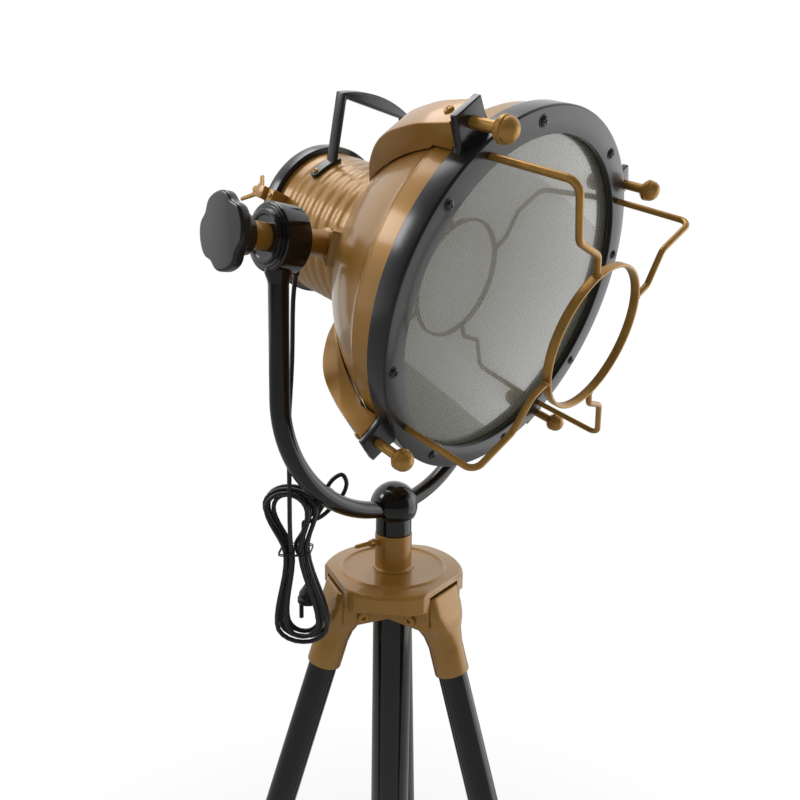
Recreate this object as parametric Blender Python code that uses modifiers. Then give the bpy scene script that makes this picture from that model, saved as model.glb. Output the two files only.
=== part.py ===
"""Spotlight floor lamp: a round spotlight head in a U yoke on a folding tripod.

Metres, +Z up. The head faces -Y. The origin is on the floor, under the middle of the lamp's outline.
"""
import math

import bmesh
import bpy
from mathutils import Matrix, Vector

# Clearances between pieces
GAP = 0.0003
RUN_GAP = 0.0004

# Tripod head
PLATE_TOP = 1.100
PLATE_R = 0.0804
PLATE_FLAT = 0.0698
PLATE_DROP = 0.006
PLATE_LIP = 0.008
BEAD_R = 0.0584
BEAD_H = 0.0018
SKIRT_DEPTH = 0.025
SKIRT_WALL = 0.006
SKIRT_ARCH = 0.003
EAR_DEPTH = 0.045
EAR_WALL = 0.006
SLOT_WIDTH = 0.056
SLOT_INNER = 0.030
LEG_AZIMUTH = 156.0

# Legs
SPLAY = 18.0
LEG_PIVOT_R = 0.050
LEG_PIVOT_DROP = 0.036
LEG_OFFSET = 0.0116
LEG_TUBE_R = 0.016
LEG_SIDES = 16
TUBE_WALL = 0.0015
SOCKET_BLOCK = 0.020
SOCKET_TOP = 0.018
SOCKET_R = 0.019
SOCKET_LENGTH = 0.075
SOCKET_SEAT = 0.050
PIVOT_BOLT_R = 0.004
BOLT_HEAD_R = 0.0062
BOLT_HEAD_H = 0.004
FOOT_R = 0.0195
FOOT_LENGTH = 0.036
FOOT_SOLE = 0.008

# Column, mast and collar
COLUMN_R = 0.0225
COLUMN_WALL = 0.002
COLUMN_LENGTH = 0.470
MAST_R = 0.0158
MAST_WALL = 0.0016
MAST_LENGTH = 0.400
COLLAR_R = 0.01925
COLLAR_H = 0.0408
SCREW_HEIGHT = 0.031
SCREW_AZIMUTH = 165.0
SCREW_R = 0.003
WING_LONG = 0.011
WING_WIDE = 0.0075
WING_THICK = 0.0038
WING_REACH = 0.034

# Yoke
YOKE_HALF = 0.1575
YOKE_TUBE_R = 0.0095
YOKE_STRAIGHT = 0.1437
YOKE_DEPTH = 0.138
BALL_R = 0.027
NECK_R = 0.0193
NECK_DROP = 0.031
HUB_R = 0.0305
HUB_IN = 0.136
HUB_OUT = 0.1695
HUB_STEP_R = 0.0238
HUB_STEP_H = 0.004
SHAFT_R = 0.0125

# Tilt knobs
KNOB_R = 0.0327
KNOB_LOBES = 6
KNOB_SCALLOP = 0.0045
KNOB_THICK = 0.010
KNOB_FACE = 0.2157
KNOB_BOSS_R = 0.0177
KNOB_BOSS_IN = 0.1905

# Head, measured forwards from the tilt axis
TILT_REST = 20.0
FACE = 0.164
BEZEL_R = 0.170
BEZEL_FLANGE = 0.0219
BEZEL_OPENING = BEZEL_R - BEZEL_FLANGE
BEZEL_PLATE = 0.004
BEZEL_WALL = 0.0032
BEZEL_REAR = 0.1435
LENS_BACK = 0.152
LENS_THICK = 0.004
LENS_FIT = 0.001
LENS_R = BEZEL_R - BEZEL_WALL - LENS_FIT
REFLECTOR_WALL = 0.001
BAND_FRONT = LENS_BACK - 2 * GAP - REFLECTOR_WALL
BAND_R = BEZEL_R - BEZEL_WALL - 2 * GAP
SEAM_STEP = 0.0032
SEAM_R = BAND_R - SEAM_STEP
SEAM = 0.118
SEAM_BEAD = 0.0012
DOME_BULGE = 0.0105
DOME_REAR = -0.0105
DOME_COLLAR = 0.008
SHELL = 0.0015
DRUM_R = 0.079
DRUM_SIDES = 32
DRUM_REAR = -0.1255
RIB_FIRST = -0.0735
RIB_PITCH = 0.0125
RIB_COUNT = 5
RIB_HEIGHT = 0.002

# Lugs, cowls and clamp knobs on the four diagonals
LUG_BACK = 0.146
LUG_FRONT = 0.1525
LUG_LAP = 0.0122
LUG_TOP_HALF = 0.0135
LUG_BASE_HALF = 0.0265
CLAMP_STAND = 0.0128
CLAMP_R = BEZEL_R + CLAMP_STAND
LUG_TOP = CLAMP_R + LUG_LAP
CLAMP_SHANK_R = 0.0044
CLAMP_BALL_R = 0.0096
CLAMP_BALL_Z = 0.1825
CLAMP_TAIL = 0.136
COWL_WIDTH = 0.030
COWL_LAP = 0.0015
COWL_HEAD_R = LUG_TOP - COWL_LAP
COWL_STEP = 0.1165
COWL_STEP_H = 0.0025
COWL_TIP = 0.024
COWL_BULGE = 0.0255
COWL_SKIN = 0.0008
COWL_WALL = 0.0016

# Guard
WIRE_R = 0.00285
GUARD_INSET = 0.012
GUARD_FOOT_R = BEZEL_R - GUARD_INSET
GUARD_OUT = 0.0745
GUARD_RING_R = 0.064
GUARD_RING_T = 0.003
GUARD_RING_W = 0.008
GUARD_LIFT = 0.002
GUARD_TWIST = 9.5
GUARD_LEAN = -3.0
GUARD_JOG_R = 0.110
GUARD_JOG_IN = 0.084

# Handle
HANDLE_Z = -0.088
HANDLE_WIDTH = 0.011
HANDLE_STRAP = 0.0045
HANDLE_HALF = 0.0575
HANDLE_RISE = 0.133
HANDLE_CROWN = 0.009
HANDLE_LEG_ANGLE = 33.0
HANDLE_TAB_ANGLE = 52.0

# Rear cover and its hinge and latch
COVER_FIT = 0.0005
COVER_SIDE = 0.0055
COVER_BORE = DRUM_R + COVER_FIT
COVER_R = COVER_BORE + COVER_SIDE
COVER_FRONT = -0.1195
COVER_RIM = -0.1355
COVER_DOME = 0.012
COVER_WALL = 0.002
COVER_TURN = 12.0
HINGE_STAND = 0.0125
HINGE_X = DRUM_R + HINGE_STAND
HINGE_Z = -0.117
HINGE_PIN_R = 0.002
KNUCKLE_R = 0.0036
KNUCKLE_HALF = 0.008
HINGE_HALF = 0.015
LATCH_STAND = 0.0135
LATCH_X = DRUM_R + LATCH_STAND
LATCH_SCREW_R = 0.0025
LATCH_BLOCK = 0.014

# Inside the head
REFLECTOR_RIM = 0.0208
REFLECTOR_R = LENS_R - REFLECTOR_RIM
REFLECTOR_DEPTH = 0.085
REFLECTOR_NECK = 0.030
HOLDER_R = 0.022
HOLDER_LENGTH = 0.070
HOLDER_BAR = 0.014
BULB_R = 0.030
BULB_NECK_R = 0.0135

# Cord
CORD_R = 0.0023
GROMMET_R = 0.0048
GROMMET_LENGTH = 0.003
CORD_X = -0.127
CORD_Y = 0.020
HANK_LAYERS = 4
HANK_PER_LAYER = 1.5
HANK_TURNS = 5.5
HANK_POINTS = 24
HANK_STEP = 0.0057
HANK_WAIST = 0.0031
HANK_HALF = 0.0145
HANK_FAN = 0.0090
HANK_RISE = 0.0058
HANK_UP = 0.0590
HANK_UP_FLARE = 0.72
HANK_DOWN = 0.0880
HANK_DOWN_FLARE = 0.81
HANK_LEAN = 0.008
HANK_Z = -0.308
HANK_TURN = -48.0
SWITCH_SIZE = (0.016, 0.014, 0.034)
SWITCH_LEAN = 30.0
PLUG_R = 0.0125
PLUG_BODY = 0.031
PLUG_PIN = 0.019
TIE_WALL = 0.0014
TIE_WIDTH = 0.0035


# Tools

def material(name, colour, roughness, metallic, alpha=1.0):
    mat = bpy.data.materials.new(name)
    mat.use_nodes = True
    shader = mat.node_tree.nodes["Principled BSDF"]
    shader.inputs["Base Color"].default_value = (*colour, 1.0)
    shader.inputs["Roughness"].default_value = roughness
    shader.inputs["Metallic"].default_value = metallic
    shader.inputs["Alpha"].default_value = alpha
    return mat


def empty(name, parent=None, location=(0, 0, 0), rotation=(0, 0, 0)):
    obj = bpy.data.objects.new(name, None)
    PARTS.objects.link(obj)
    obj.parent = parent
    obj.location = location
    obj.rotation_euler = [math.radians(a) for a in rotation]
    return obj


def put(obj, parent, location=(0, 0, 0), rotation=(0, 0, 0)):
    """Parents the object and sets its place in the parent's frame, angles in degrees."""
    obj.parent = parent
    obj.location = location
    obj.rotation_euler = [math.radians(a) for a in rotation]
    return obj


def add(name, mesh, mat):
    obj = bpy.data.objects.new(name, mesh)
    PARTS.objects.link(obj)
    if mat is not None:
        mesh.materials.append(mat)
    return obj


def finish(obj, angle=35.0):
    obj.data.shade_smooth()
    obj.data.set_sharp_from_angle(angle=math.radians(angle))
    return obj


def mesh_from(bm, name):
    mesh = bpy.data.meshes.new(name)
    bm.to_mesh(mesh)
    bm.free()
    return mesh


def box(name, size, centre, mat, rotation=None):
    bm = bmesh.new()
    bmesh.ops.create_cube(bm, size=1.0)
    bmesh.ops.scale(bm, vec=size, verts=bm.verts)
    if rotation is not None:
        bmesh.ops.rotate(bm, cent=(0, 0, 0), matrix=rotation, verts=bm.verts)
    bmesh.ops.translate(bm, vec=centre, verts=bm.verts)
    return add(name, mesh_from(bm, name), mat)


def rod(name, radius, start, end, mat, sides=20):
    """A solid cylinder between two points of the object's own frame."""
    start, end = Vector(start), Vector(end)
    bm = bmesh.new()
    bmesh.ops.create_cone(bm, cap_ends=True, segments=sides, radius1=radius, radius2=radius,
                          depth=(end - start).length)
    turn = (end - start).to_track_quat("Z", "Y").to_matrix()
    bmesh.ops.rotate(bm, cent=(0, 0, 0), matrix=turn, verts=bm.verts)
    bmesh.ops.translate(bm, vec=(start + end) / 2, verts=bm.verts)
    return add(name, mesh_from(bm, name), mat)


def turned(name, profile, mat, steps=32, closed=False):
    """A profile of (radius, height) turned round Z: its outer side runs from top to bottom."""
    bm = bmesh.new()
    points = [bm.verts.new((r, 0, z)) for r, z in profile]
    for first, second in zip(points, points[1:]):
        bm.edges.new((first, second))
    if closed:
        bm.edges.new((points[-1], points[0]))
    obj = add(name, mesh_from(bm, name), mat)
    screw = obj.modifiers.new("turn", "SCREW")
    screw.axis = "Z"
    screw.steps = steps
    screw.render_steps = steps
    screw.use_merge_vertices = True
    screw.merge_threshold = 0.00005
    screw.use_smooth_shade = True
    return obj


def solidify(obj, thickness):
    shell = obj.modifiers.new("wall", "SOLIDIFY")
    shell.thickness = thickness
    shell.offset = -1.0
    return obj


def round_edges(obj, width, segments=2, angle=40.0):
    bevel = obj.modifiers.new("edges", "BEVEL")
    bevel.width = width
    bevel.segments = segments
    bevel.limit_method = "ANGLE"
    bevel.angle_limit = math.radians(angle)
    return obj


def as_mesh(curve):
    """Replaces a curve object by a mesh object whose caps are welded."""
    name, mat = curve.name, curve.data.materials[0] if curve.data.materials else None
    graph = bpy.context.evaluated_depsgraph_get()
    mesh = bpy.data.meshes.new_from_object(curve.evaluated_get(graph))
    bm = bmesh.new()
    bm.from_mesh(mesh)
    bmesh.ops.remove_doubles(bm, verts=bm.verts, dist=0.00002)
    bm.to_mesh(mesh)
    bm.free()
    matrix = curve.matrix_world.copy()
    bpy.data.objects.remove(curve)
    obj = bpy.data.objects.new(name, mesh)
    PARTS.objects.link(obj)
    obj.matrix_world = matrix
    if mat is not None and not mesh.materials:
        mesh.materials.append(mat)
    return obj


def tube(name, points, radius, mat, resolution=3):
    """A round wire or tube along the points."""
    curve = bpy.data.curves.new(name, "CURVE")
    curve.dimensions = "3D"
    curve.bevel_depth = radius
    curve.bevel_resolution = resolution
    curve.use_fill_caps = True
    spline = curve.splines.new("POLY")
    spline.points.add(len(points) - 1)
    for point, place in zip(spline.points, points):
        point.co = (*place, 1.0)
    obj = bpy.data.objects.new(name, curve)
    PARTS.objects.link(obj)
    curve.materials.append(mat)
    return obj


def plate(name, outline, thickness, mat):
    """A flat outline in the XY plane, given half its thickness to each side."""
    curve = bpy.data.curves.new(name, "CURVE")
    curve.dimensions = "2D"
    curve.fill_mode = "BOTH"
    curve.extrude = thickness / 2
    spline = curve.splines.new("POLY")
    spline.points.add(len(outline) - 1)
    for point, (x, y) in zip(spline.points, outline):
        point.co = (x, y, 0, 1.0)
    spline.use_cyclic_u = True
    obj = bpy.data.objects.new(name, curve)
    PARTS.objects.link(obj)
    if mat is not None:
        curve.materials.append(mat)
    return as_mesh(obj)


def loft(name, rings, mat):
    """Closed sections of equal point counts, joined one to the next and capped at both ends."""
    bm = bmesh.new()
    loops = [[bm.verts.new(p) for p in ring] for ring in rings]
    count = len(loops[0])
    for upper, lower in zip(loops, loops[1:]):
        for i in range(count):
            j = (i + 1) % count
            bm.faces.new((upper[i], lower[i], lower[j], upper[j]))
    bm.faces.new(loops[0])
    bm.faces.new(list(reversed(loops[-1])))
    bmesh.ops.recalc_face_normals(bm, faces=bm.faces)
    return add(name, mesh_from(bm, name), mat)


def helper(obj):
    """Moves a cutter or an added shape to its own collection, as a guide that isn't a part."""
    PARTS.objects.unlink(obj)
    GUIDES.objects.link(obj)
    obj.hide_render = True
    obj.display_type = "WIRE"
    return obj


def combine(obj, other, operation):
    change = obj.modifiers.new(operation.lower(), "BOOLEAN")
    change.operation = operation
    change.solver = "EXACT"
    change.object = helper(other)
    return obj


def cut(obj, *cutters):
    for cutter in cutters:
        combine(obj, cutter, "DIFFERENCE")
    return obj


def join(obj, *others):
    for other in others:
        combine(obj, other, "UNION")
    return obj


def arc(radius, start, end, count, centre=(0.0, 0.0)):
    """Points on a circle from one angle to another, in degrees."""
    angles = [math.radians(start + (end - start) * i / (count - 1)) for i in range(count)]
    return [(centre[0] + radius * math.cos(a), centre[1] + radius * math.sin(a)) for a in angles]


def rounded_path(corners, radii, count=5):
    """A path through the corners, each one rounded by its own radius."""
    path = [Vector(corners[0])]
    for before, corner, after, radius in zip(corners, corners[1:], corners[2:], radii):
        before, corner, after = Vector(before), Vector(corner), Vector(after)
        back, ahead = (before - corner).normalized(), (after - corner).normalized()
        half = back.angle(ahead) / 2
        reach = radius / math.tan(half)
        first, last = corner + back * reach, corner + ahead * reach
        centre = corner + (back + ahead).normalized() * radius / math.sin(half)
        for i in range(count):
            share = i / (count - 1)
            chord = first.lerp(last, share)
            path.append(centre + (chord - centre).normalized() * radius)
    path.append(Vector(corners[-1]))
    return path


def smooth_path(corners, count=3):
    """A smooth curve through the given points, whose first and last runs are straight."""
    start, *inner, end = [Vector(c) for c in corners]
    before = inner[1] - 2 * (inner[1] - inner[0]).length * (inner[0] - start).normalized()
    after = inner[-2] + 2 * (inner[-1] - inner[-2]).length * (end - inner[-1]).normalized()
    knots = [before, *inner, after]
    path = [start]
    for a, b, c, d in zip(knots, knots[1:], knots[2:], knots[3:]):
        for i in range(count):
            t = i / count
            path.append(0.5 * (2 * b + (c - a) * t + (2 * a - 5 * b + 4 * c - d) * t ** 2
                               + (3 * b - a - 3 * c + d) * t ** 3))
    return path + [inner[-1], end]


def polar(radius, degrees, z=0.0):
    return Vector((radius * math.cos(math.radians(degrees)), radius * math.sin(math.radians(degrees)), z))


# Tripod

def arc_sector(name, reach, top, bottom, azimuth, draft=0.0):
    """The space between two legs' ears, out to a radius, less a casting draft on the ears."""
    ear_face = SLOT_WIDTH / 2 + EAR_WALL + draft
    apex = ear_face / math.cos(math.radians(30))
    side = math.degrees(math.asin(ear_face / reach))
    outline = [(apex, 0.0)] + arc(reach, -(60 - side), 60 - side, 7)
    sector = plate(name, outline, top - bottom, None)
    return put(sector, TRIPOD, (0, 0, PLATE_TOP + (top + bottom) / 2), (0, 0, azimuth))


def tripod_plate():
    """The cast head of the tripod: domed top with a bead, three flats, and ears round each leg."""
    bore = MAST_R + GAP
    profile = [
        (bore, 0.0),
        (BEAD_R - 0.0030, 0.0),
        (BEAD_R - 0.0013, BEAD_H),
        (BEAD_R + 0.0013, BEAD_H),
        (BEAD_R + 0.0030, -0.0003),
        (PLATE_R - 0.0020, -PLATE_DROP),
        (PLATE_R, -PLATE_DROP - 0.0018),
        (PLATE_R, -EAR_DEPTH),
        (COLUMN_R + GAP, -EAR_DEPTH),
        (COLUMN_R + GAP, -PLATE_LIP),
        (bore, -PLATE_LIP),
    ]
    casting = turned("tripod_plate", profile, BRONZE, 36, closed=True)
    put(casting, TRIPOD, (0, 0, PLATE_TOP))
    for k in range(3):
        azimuth = LEG_AZIMUTH + 120 * k
        leg_frame = dict(parent=TRIPOD, location=(0, 0, PLATE_TOP), rotation=(0, 0, azimuth))
        trim = box("flat_trim", (0.04, 0.12, 0.12), (PLATE_FLAT + 0.02, 0, 0), None)
        slot_depth = EAR_DEPTH + 0.01 - PLATE_LIP
        slot_reach = PLATE_R - SLOT_INNER + 0.01
        slot = box("leg_slot", (slot_reach, SLOT_WIDTH, slot_depth),
                   (SLOT_INNER + slot_reach / 2, 0, -PLATE_LIP - slot_depth / 2), None)
        pin = rod("pin_hole", PIVOT_BOLT_R + GAP, (LEG_PIVOT_R, -0.06, -LEG_PIVOT_DROP),
                  (LEG_PIVOT_R, 0.06, -LEG_PIVOT_DROP), None, 12)
        for cutter in (trim, slot, pin):
            put(cutter, **leg_frame)
        middle = azimuth + 60
        pocket = arc_sector("skirt_pocket", PLATE_R - SKIRT_WALL, -PLATE_LIP, -EAR_DEPTH - 0.012, middle, GAP)
        under = arc_sector("skirt_under", PLATE_R + 0.01, -SKIRT_DEPTH, -EAR_DEPTH - 0.01, middle)
        arch_r = 0.110
        arch_z = PLATE_TOP - SKIRT_DEPTH - arch_r + SKIRT_ARCH
        arch = rod("skirt_arch", arch_r, (PLATE_R - 0.02, 0, 0), (PLATE_R + 0.02, 0, 0), None, 40)
        put(arch, TRIPOD, (0, 0, arch_z), (0, 0, middle))
        cut(casting, trim, slot, pin, pocket, under, arch)
    return finish(casting)


def collar_and_mast():
    bore = MAST_R + GAP
    weld = 0.0023
    profile = [
        (bore, COLLAR_H),
        (COLLAR_R - 0.0005, COLLAR_H),
        (COLLAR_R, COLLAR_H - 0.0005),
        (COLLAR_R, weld + 0.0012),
        (COLLAR_R + weld, GAP),
        (bore, GAP),
    ]
    collar = turned("stem_collar", profile, BRONZE, 20, closed=True)
    put(collar, TRIPOD, (0, 0, PLATE_TOP))
    hole = rod("screw_hole", SCREW_R + GAP, (0.010, 0, SCREW_HEIGHT), (0.030, 0, SCREW_HEIGHT), None, 16)
    put(hole, TRIPOD, (0, 0, PLATE_TOP), (0, 0, SCREW_AZIMUTH))
    finish(cut(collar, hole))

    inner = COLUMN_R - COLUMN_WALL
    top = -PLATE_LIP - GAP
    bottom = top - COLUMN_LENGTH
    profile = [
        (0.0, bottom + COLUMN_WALL),
        (inner, bottom + COLUMN_WALL),
        (inner, top),
        (COLUMN_R, top),
        (COLUMN_R, bottom),
        (0.0, bottom),
    ]
    put(turned("centre_column", profile, BLACK, 20), TRIPOD, (0, 0, PLATE_TOP))

    top = COLLAR_H + NECK_DROP - 0.0055
    profile = [
        (MAST_R - MAST_WALL, top),
        (MAST_R, top),
        (MAST_R, top - MAST_LENGTH),
        (MAST_R - MAST_WALL, top - MAST_LENGTH),
    ]
    put(turned("mast_tube", profile, STEEL, 20, closed=True), MAST)


def wing_screw():
    """The thumb screw through the collar: a leaf-shaped head on a plain shank."""
    lens_r = (WING_LONG ** 2 + WING_WIDE ** 2) / (2 * WING_WIDE)
    half = math.degrees(math.asin(WING_LONG / lens_r))
    right = arc(lens_r, -half, half, 9, (WING_WIDE - lens_r, 0))
    left = arc(lens_r, 180 - half, 180 + half, 9, (lens_r - WING_WIDE, 0))
    leaf = plate("wing_screw", right[:-1] + left[:-1], WING_THICK, BRONZE)
    round_edges(leaf, WING_THICK * 0.3, 1)
    turn = Matrix.Rotation(math.radians(-25), 4, "Z")
    leaf.data.transform(Matrix.Rotation(math.radians(90), 4, "X") @ turn)
    put(leaf, SCREW, (WING_REACH, 0, 0))
    shank = rod("wing_shank", SCREW_R, (MAST_R + GAP, 0, 0), (WING_REACH - 0.002, 0, 0), None, 16)
    put(shank, SCREW)
    return finish(join(leaf, shank))


def section(half_x, half_y, power, centre_x, z, count=LEG_SIDES):
    """A superellipse: power 2 is an ellipse, higher powers come near a box."""
    ring = []
    for i in range(count):
        angle = 2 * math.pi * (i + 0.5) / count
        c, s = math.cos(angle), math.sin(angle)
        x = math.copysign(abs(c) ** (2 / power), c) * half_x
        y = math.copysign(abs(s) ** (2 / power), s) * half_y
        ring.append((centre_x + x, y, z))
    return ring


def leg(k):
    """One leg: the cast socket that swings between the ears, its tube, foot and pivot bolt."""
    frame = LEGS[k]
    block = SLOT_WIDTH / 2 - RUN_GAP
    mid = 0.010
    bore = LEG_TUBE_R + GAP
    rings = [
        section(SOCKET_BLOCK - 0.0015, block - 0.0015, 6, mid, SOCKET_TOP),
        section(SOCKET_BLOCK, block, 6, mid, SOCKET_TOP - 0.002),
        section(SOCKET_BLOCK, block, 6, mid, -0.010),
        section(SOCKET_BLOCK - 0.0003, block - 0.0025, 4, LEG_OFFSET, -0.026),
        section(SOCKET_R + 0.0002, block - 0.0065, 2.6, LEG_OFFSET, -0.040),
        section(SOCKET_R, SOCKET_R, 2, LEG_OFFSET, -0.054),
        section(SOCKET_R, SOCKET_R, 2, LEG_OFFSET, -SOCKET_LENGTH),
        section(bore, bore, 2, LEG_OFFSET, -SOCKET_LENGTH),
        section(bore, bore, 2, LEG_OFFSET, -SOCKET_SEAT),
    ]
    socket = put(loft(f"leg_socket_{k + 1}", rings, BRONZE), frame)
    pin = put(rod("socket_pin_hole", PIVOT_BOLT_R + GAP, (0, -0.04, 0), (0, 0.04, 0), None, 12), frame)
    finish(cut(socket, pin))

    drop = PLATE_TOP - LEG_PIVOT_DROP + LEG_OFFSET * math.sin(math.radians(SPLAY))
    length = drop / math.cos(math.radians(SPLAY))
    profile = [
        (LEG_TUBE_R - TUBE_WALL, -SOCKET_SEAT - GAP),
        (LEG_TUBE_R, -SOCKET_SEAT - GAP),
        (LEG_TUBE_R, FOOT_SOLE + GAP - length),
        (LEG_TUBE_R - TUBE_WALL, FOOT_SOLE + GAP - length),
    ]
    tube_turn = (0, 0, 180 / LEG_SIDES)
    leg_tube = turned(f"leg_tube_{k + 1}", profile, BLACK, LEG_SIDES, closed=True)
    put(leg_tube, frame, (LEG_OFFSET, 0, 0), tube_turn)

    spread = FOOT_R * math.tan(math.radians(SPLAY)) + 0.002
    profile = [
        (0.0, FOOT_SOLE - length),
        (bore, FOOT_SOLE - length),
        (bore, FOOT_LENGTH - length),
        (FOOT_R - 0.001, FOOT_LENGTH - length),
        (FOOT_R, FOOT_LENGTH - 0.001 - length),
        (FOOT_R, -spread - length),
        (0.0, -spread - length),
    ]
    foot = put(turned(f"leg_foot_{k + 1}", profile, RUBBER, LEG_SIDES), frame, (LEG_OFFSET, 0, 0), tube_turn)
    floor = put(box("floor_trim", (2.0, 2.0, 0.1), (0, 0, -0.05), None), TRIPOD)
    finish(cut(foot, floor))

    end = SLOT_WIDTH / 2 + EAR_WALL + GAP
    bolt = rod(f"pivot_bolt_{k + 1}", PIVOT_BOLT_R, (0, -end - 0.001, 0), (0, end + 0.001, 0), BRONZE, 12)
    heads = []
    for sign in (-1, 1):
        heads.append(rod("bolt_head", BOLT_HEAD_R, (0, sign * end, 0), (0, sign * (end + BOLT_HEAD_H), 0),
                         None, 12))
    for piece in (bolt, *heads):
        put(piece, TRIPOD, polar(LEG_PIVOT_R, LEG_AZIMUTH + 120 * k, PLATE_TOP - LEG_PIVOT_DROP),
            (0, 0, LEG_AZIMUTH + 120 * k))
    finish(join(bolt, *heads))


# Yoke

def pivot_height():
    """Height of the tilt axis above the seam where the neck meets the collar."""
    return NECK_DROP + YOKE_STRAIGHT + YOKE_DEPTH


def ball_profile(radius):
    return [(radius * math.cos(a), NECK_DROP + radius * math.sin(a))
            for a in (math.radians(90 - 18 * i) for i in range(9))]


def yoke_hub():
    """The ball that the arms are welded to, on the neck that turns on the mast."""
    bore = MAST_R + GAP
    neck_join = NECK_DROP - math.sqrt(BALL_R ** 2 - NECK_R ** 2)
    profile = [p for p in ball_profile(BALL_R) if p[1] > neck_join + 0.001]
    profile[0] = (0.0, NECK_DROP + BALL_R)
    profile += [
        (NECK_R, neck_join),
        (NECK_R, GAP),
        (bore, GAP),
        (bore, NECK_DROP - 0.005),
        (0.0, NECK_DROP - 0.005),
    ]
    return put(turned("yoke_hub", profile, BLACK, 24), PAN)


def yoke_arm(side, name):
    """Half of the U: a straight run below the hub, then a quarter of an ellipse down to the ball."""
    centre = pivot_height() - YOKE_STRAIGHT
    points = [(side * YOKE_HALF, 0, pivot_height() - HUB_R + 0.006)]
    for i in range(13):
        angle = math.radians(90 * i / 13)
        points.append((side * YOKE_HALF * math.cos(angle), 0, centre - YOKE_DEPTH * math.sin(angle)))
    points.append((side * BALL_R * 0.6, 0, centre - YOKE_DEPTH + 0.0006))
    arm = as_mesh(tube(name, points, YOKE_TUBE_R, BLACK, 3))
    put(arm, PAN)
    seat = rod("hub_seat", HUB_R + GAP, (side * HUB_IN * 0.9, 0, pivot_height()),
               (side * HUB_OUT * 1.1, 0, pivot_height()), None, 48)
    profile = ball_profile(BALL_R + GAP)
    profile[0] = (0.0, NECK_DROP + BALL_R + GAP)
    profile += [(BALL_R * 0.5, NECK_DROP - BALL_R), (0.0, NECK_DROP - BALL_R)]
    ball = turned("ball_seat", profile, None, 32)
    for cutter in (seat, ball):
        put(cutter, PAN)
    return finish(cut(arm, seat, ball))


def pivot_hub(side, name):
    bore = SHAFT_R + GAP
    profile = [
        (bore, HUB_OUT + HUB_STEP_H),
        (HUB_STEP_R, HUB_OUT + HUB_STEP_H),
        (HUB_STEP_R, HUB_OUT + 0.0012),
        (HUB_STEP_R + 0.0025, HUB_OUT + 0.0012),
        (HUB_STEP_R + 0.0025, HUB_OUT),
        (HUB_R - 0.001, HUB_OUT),
        (HUB_R, HUB_OUT - 0.001),
        (HUB_R, HUB_IN),
        (bore, HUB_IN),
    ]
    hub = turned(name, profile, BLACK, 24, closed=True)
    return put(hub, PAN, (0, 0, pivot_height()), (0, 90 * side, 0))


# Head shells

def dome_profile(offset=0.0):
    """Outer line of the dome from the bezel back to the drum, as (radius, z), grown by the offset."""
    start, end = Vector((SEAM_R, SEAM)), Vector((DRUM_R + SHELL + GAP, DOME_REAR + DOME_COLLAR))
    chord = end - start
    bulge = Vector((-chord.y, chord.x)).normalized()
    if bulge.x < 0:
        bulge = -bulge
    line = [
        (BAND_R + offset, BAND_FRONT + offset),
        (SEAM_R + 0.0018 + offset, SEAM + 0.0025),
        (SEAM_R + SEAM_BEAD + offset, SEAM + 0.0012),
    ]
    for i in range(7):
        t = i / 6
        point = start + chord * t + bulge * (4 * t * (1 - t) * DOME_BULGE)
        line.append((point.x + offset, point.y))
    line.append((DRUM_R + SHELL + GAP + offset, DOME_REAR - offset))
    return line


def dome_radius(z):
    """Outer radius of the dome or the drum at a distance forwards of the tilt axis."""
    line = dome_profile()
    for (r1, z1), (r2, z2) in zip(line, line[1:]):
        if z2 <= z <= z1:
            return r2 + (r1 - r2) * (z - z2) / (z1 - z2)
    return DRUM_R


def clearance_body(name, offset):
    """A solid of the dome and drum, grown by the offset, that seats what is fastened on them."""
    line = dome_profile(offset)
    profile = [(0.0, line[0][1])] + line
    profile += [(DRUM_R + offset, DOME_REAR - offset), (DRUM_R + offset, DRUM_REAR), (0.0, DRUM_REAR)]
    return put(turned(name, profile, None, 64), HEAD)


def lamp_shells():
    outer = dome_profile()
    inner = [(outer[-1][0] - SHELL, outer[-1][1])]
    inner += [(r - SHELL, z) for r, z in (outer[-2], outer[-4], outer[-6], outer[3])]
    inner += [(SEAM_R - SHELL, SEAM + SEAM_BEAD), (BAND_R - SHELL, outer[0][1])]
    put(turned("lamp_dome", outer + inner, BRONZE, 36, closed=True), HEAD)
    front, valley = DOME_REAR + DOME_COLLAR - 0.001, DRUM_R - RIB_HEIGHT
    line = [(DRUM_R, front), (DRUM_R, RIB_FIRST + RIB_PITCH * RIB_COUNT + 0.001)]
    for rib in reversed(range(RIB_COUNT)):
        start = RIB_FIRST + RIB_PITCH * rib
        line += [(valley, start + RIB_PITCH), (DRUM_R, start + RIB_PITCH * 0.5)]
    line += [(valley, RIB_FIRST), (DRUM_R, RIB_FIRST - 0.003), (DRUM_R, DRUM_REAR)]
    inside = valley - SHELL
    line += [(inside, DRUM_REAR), (inside, front)]
    put(turned("lamp_drum", line, BRONZE, DRUM_SIDES, closed=True), HEAD)


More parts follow.
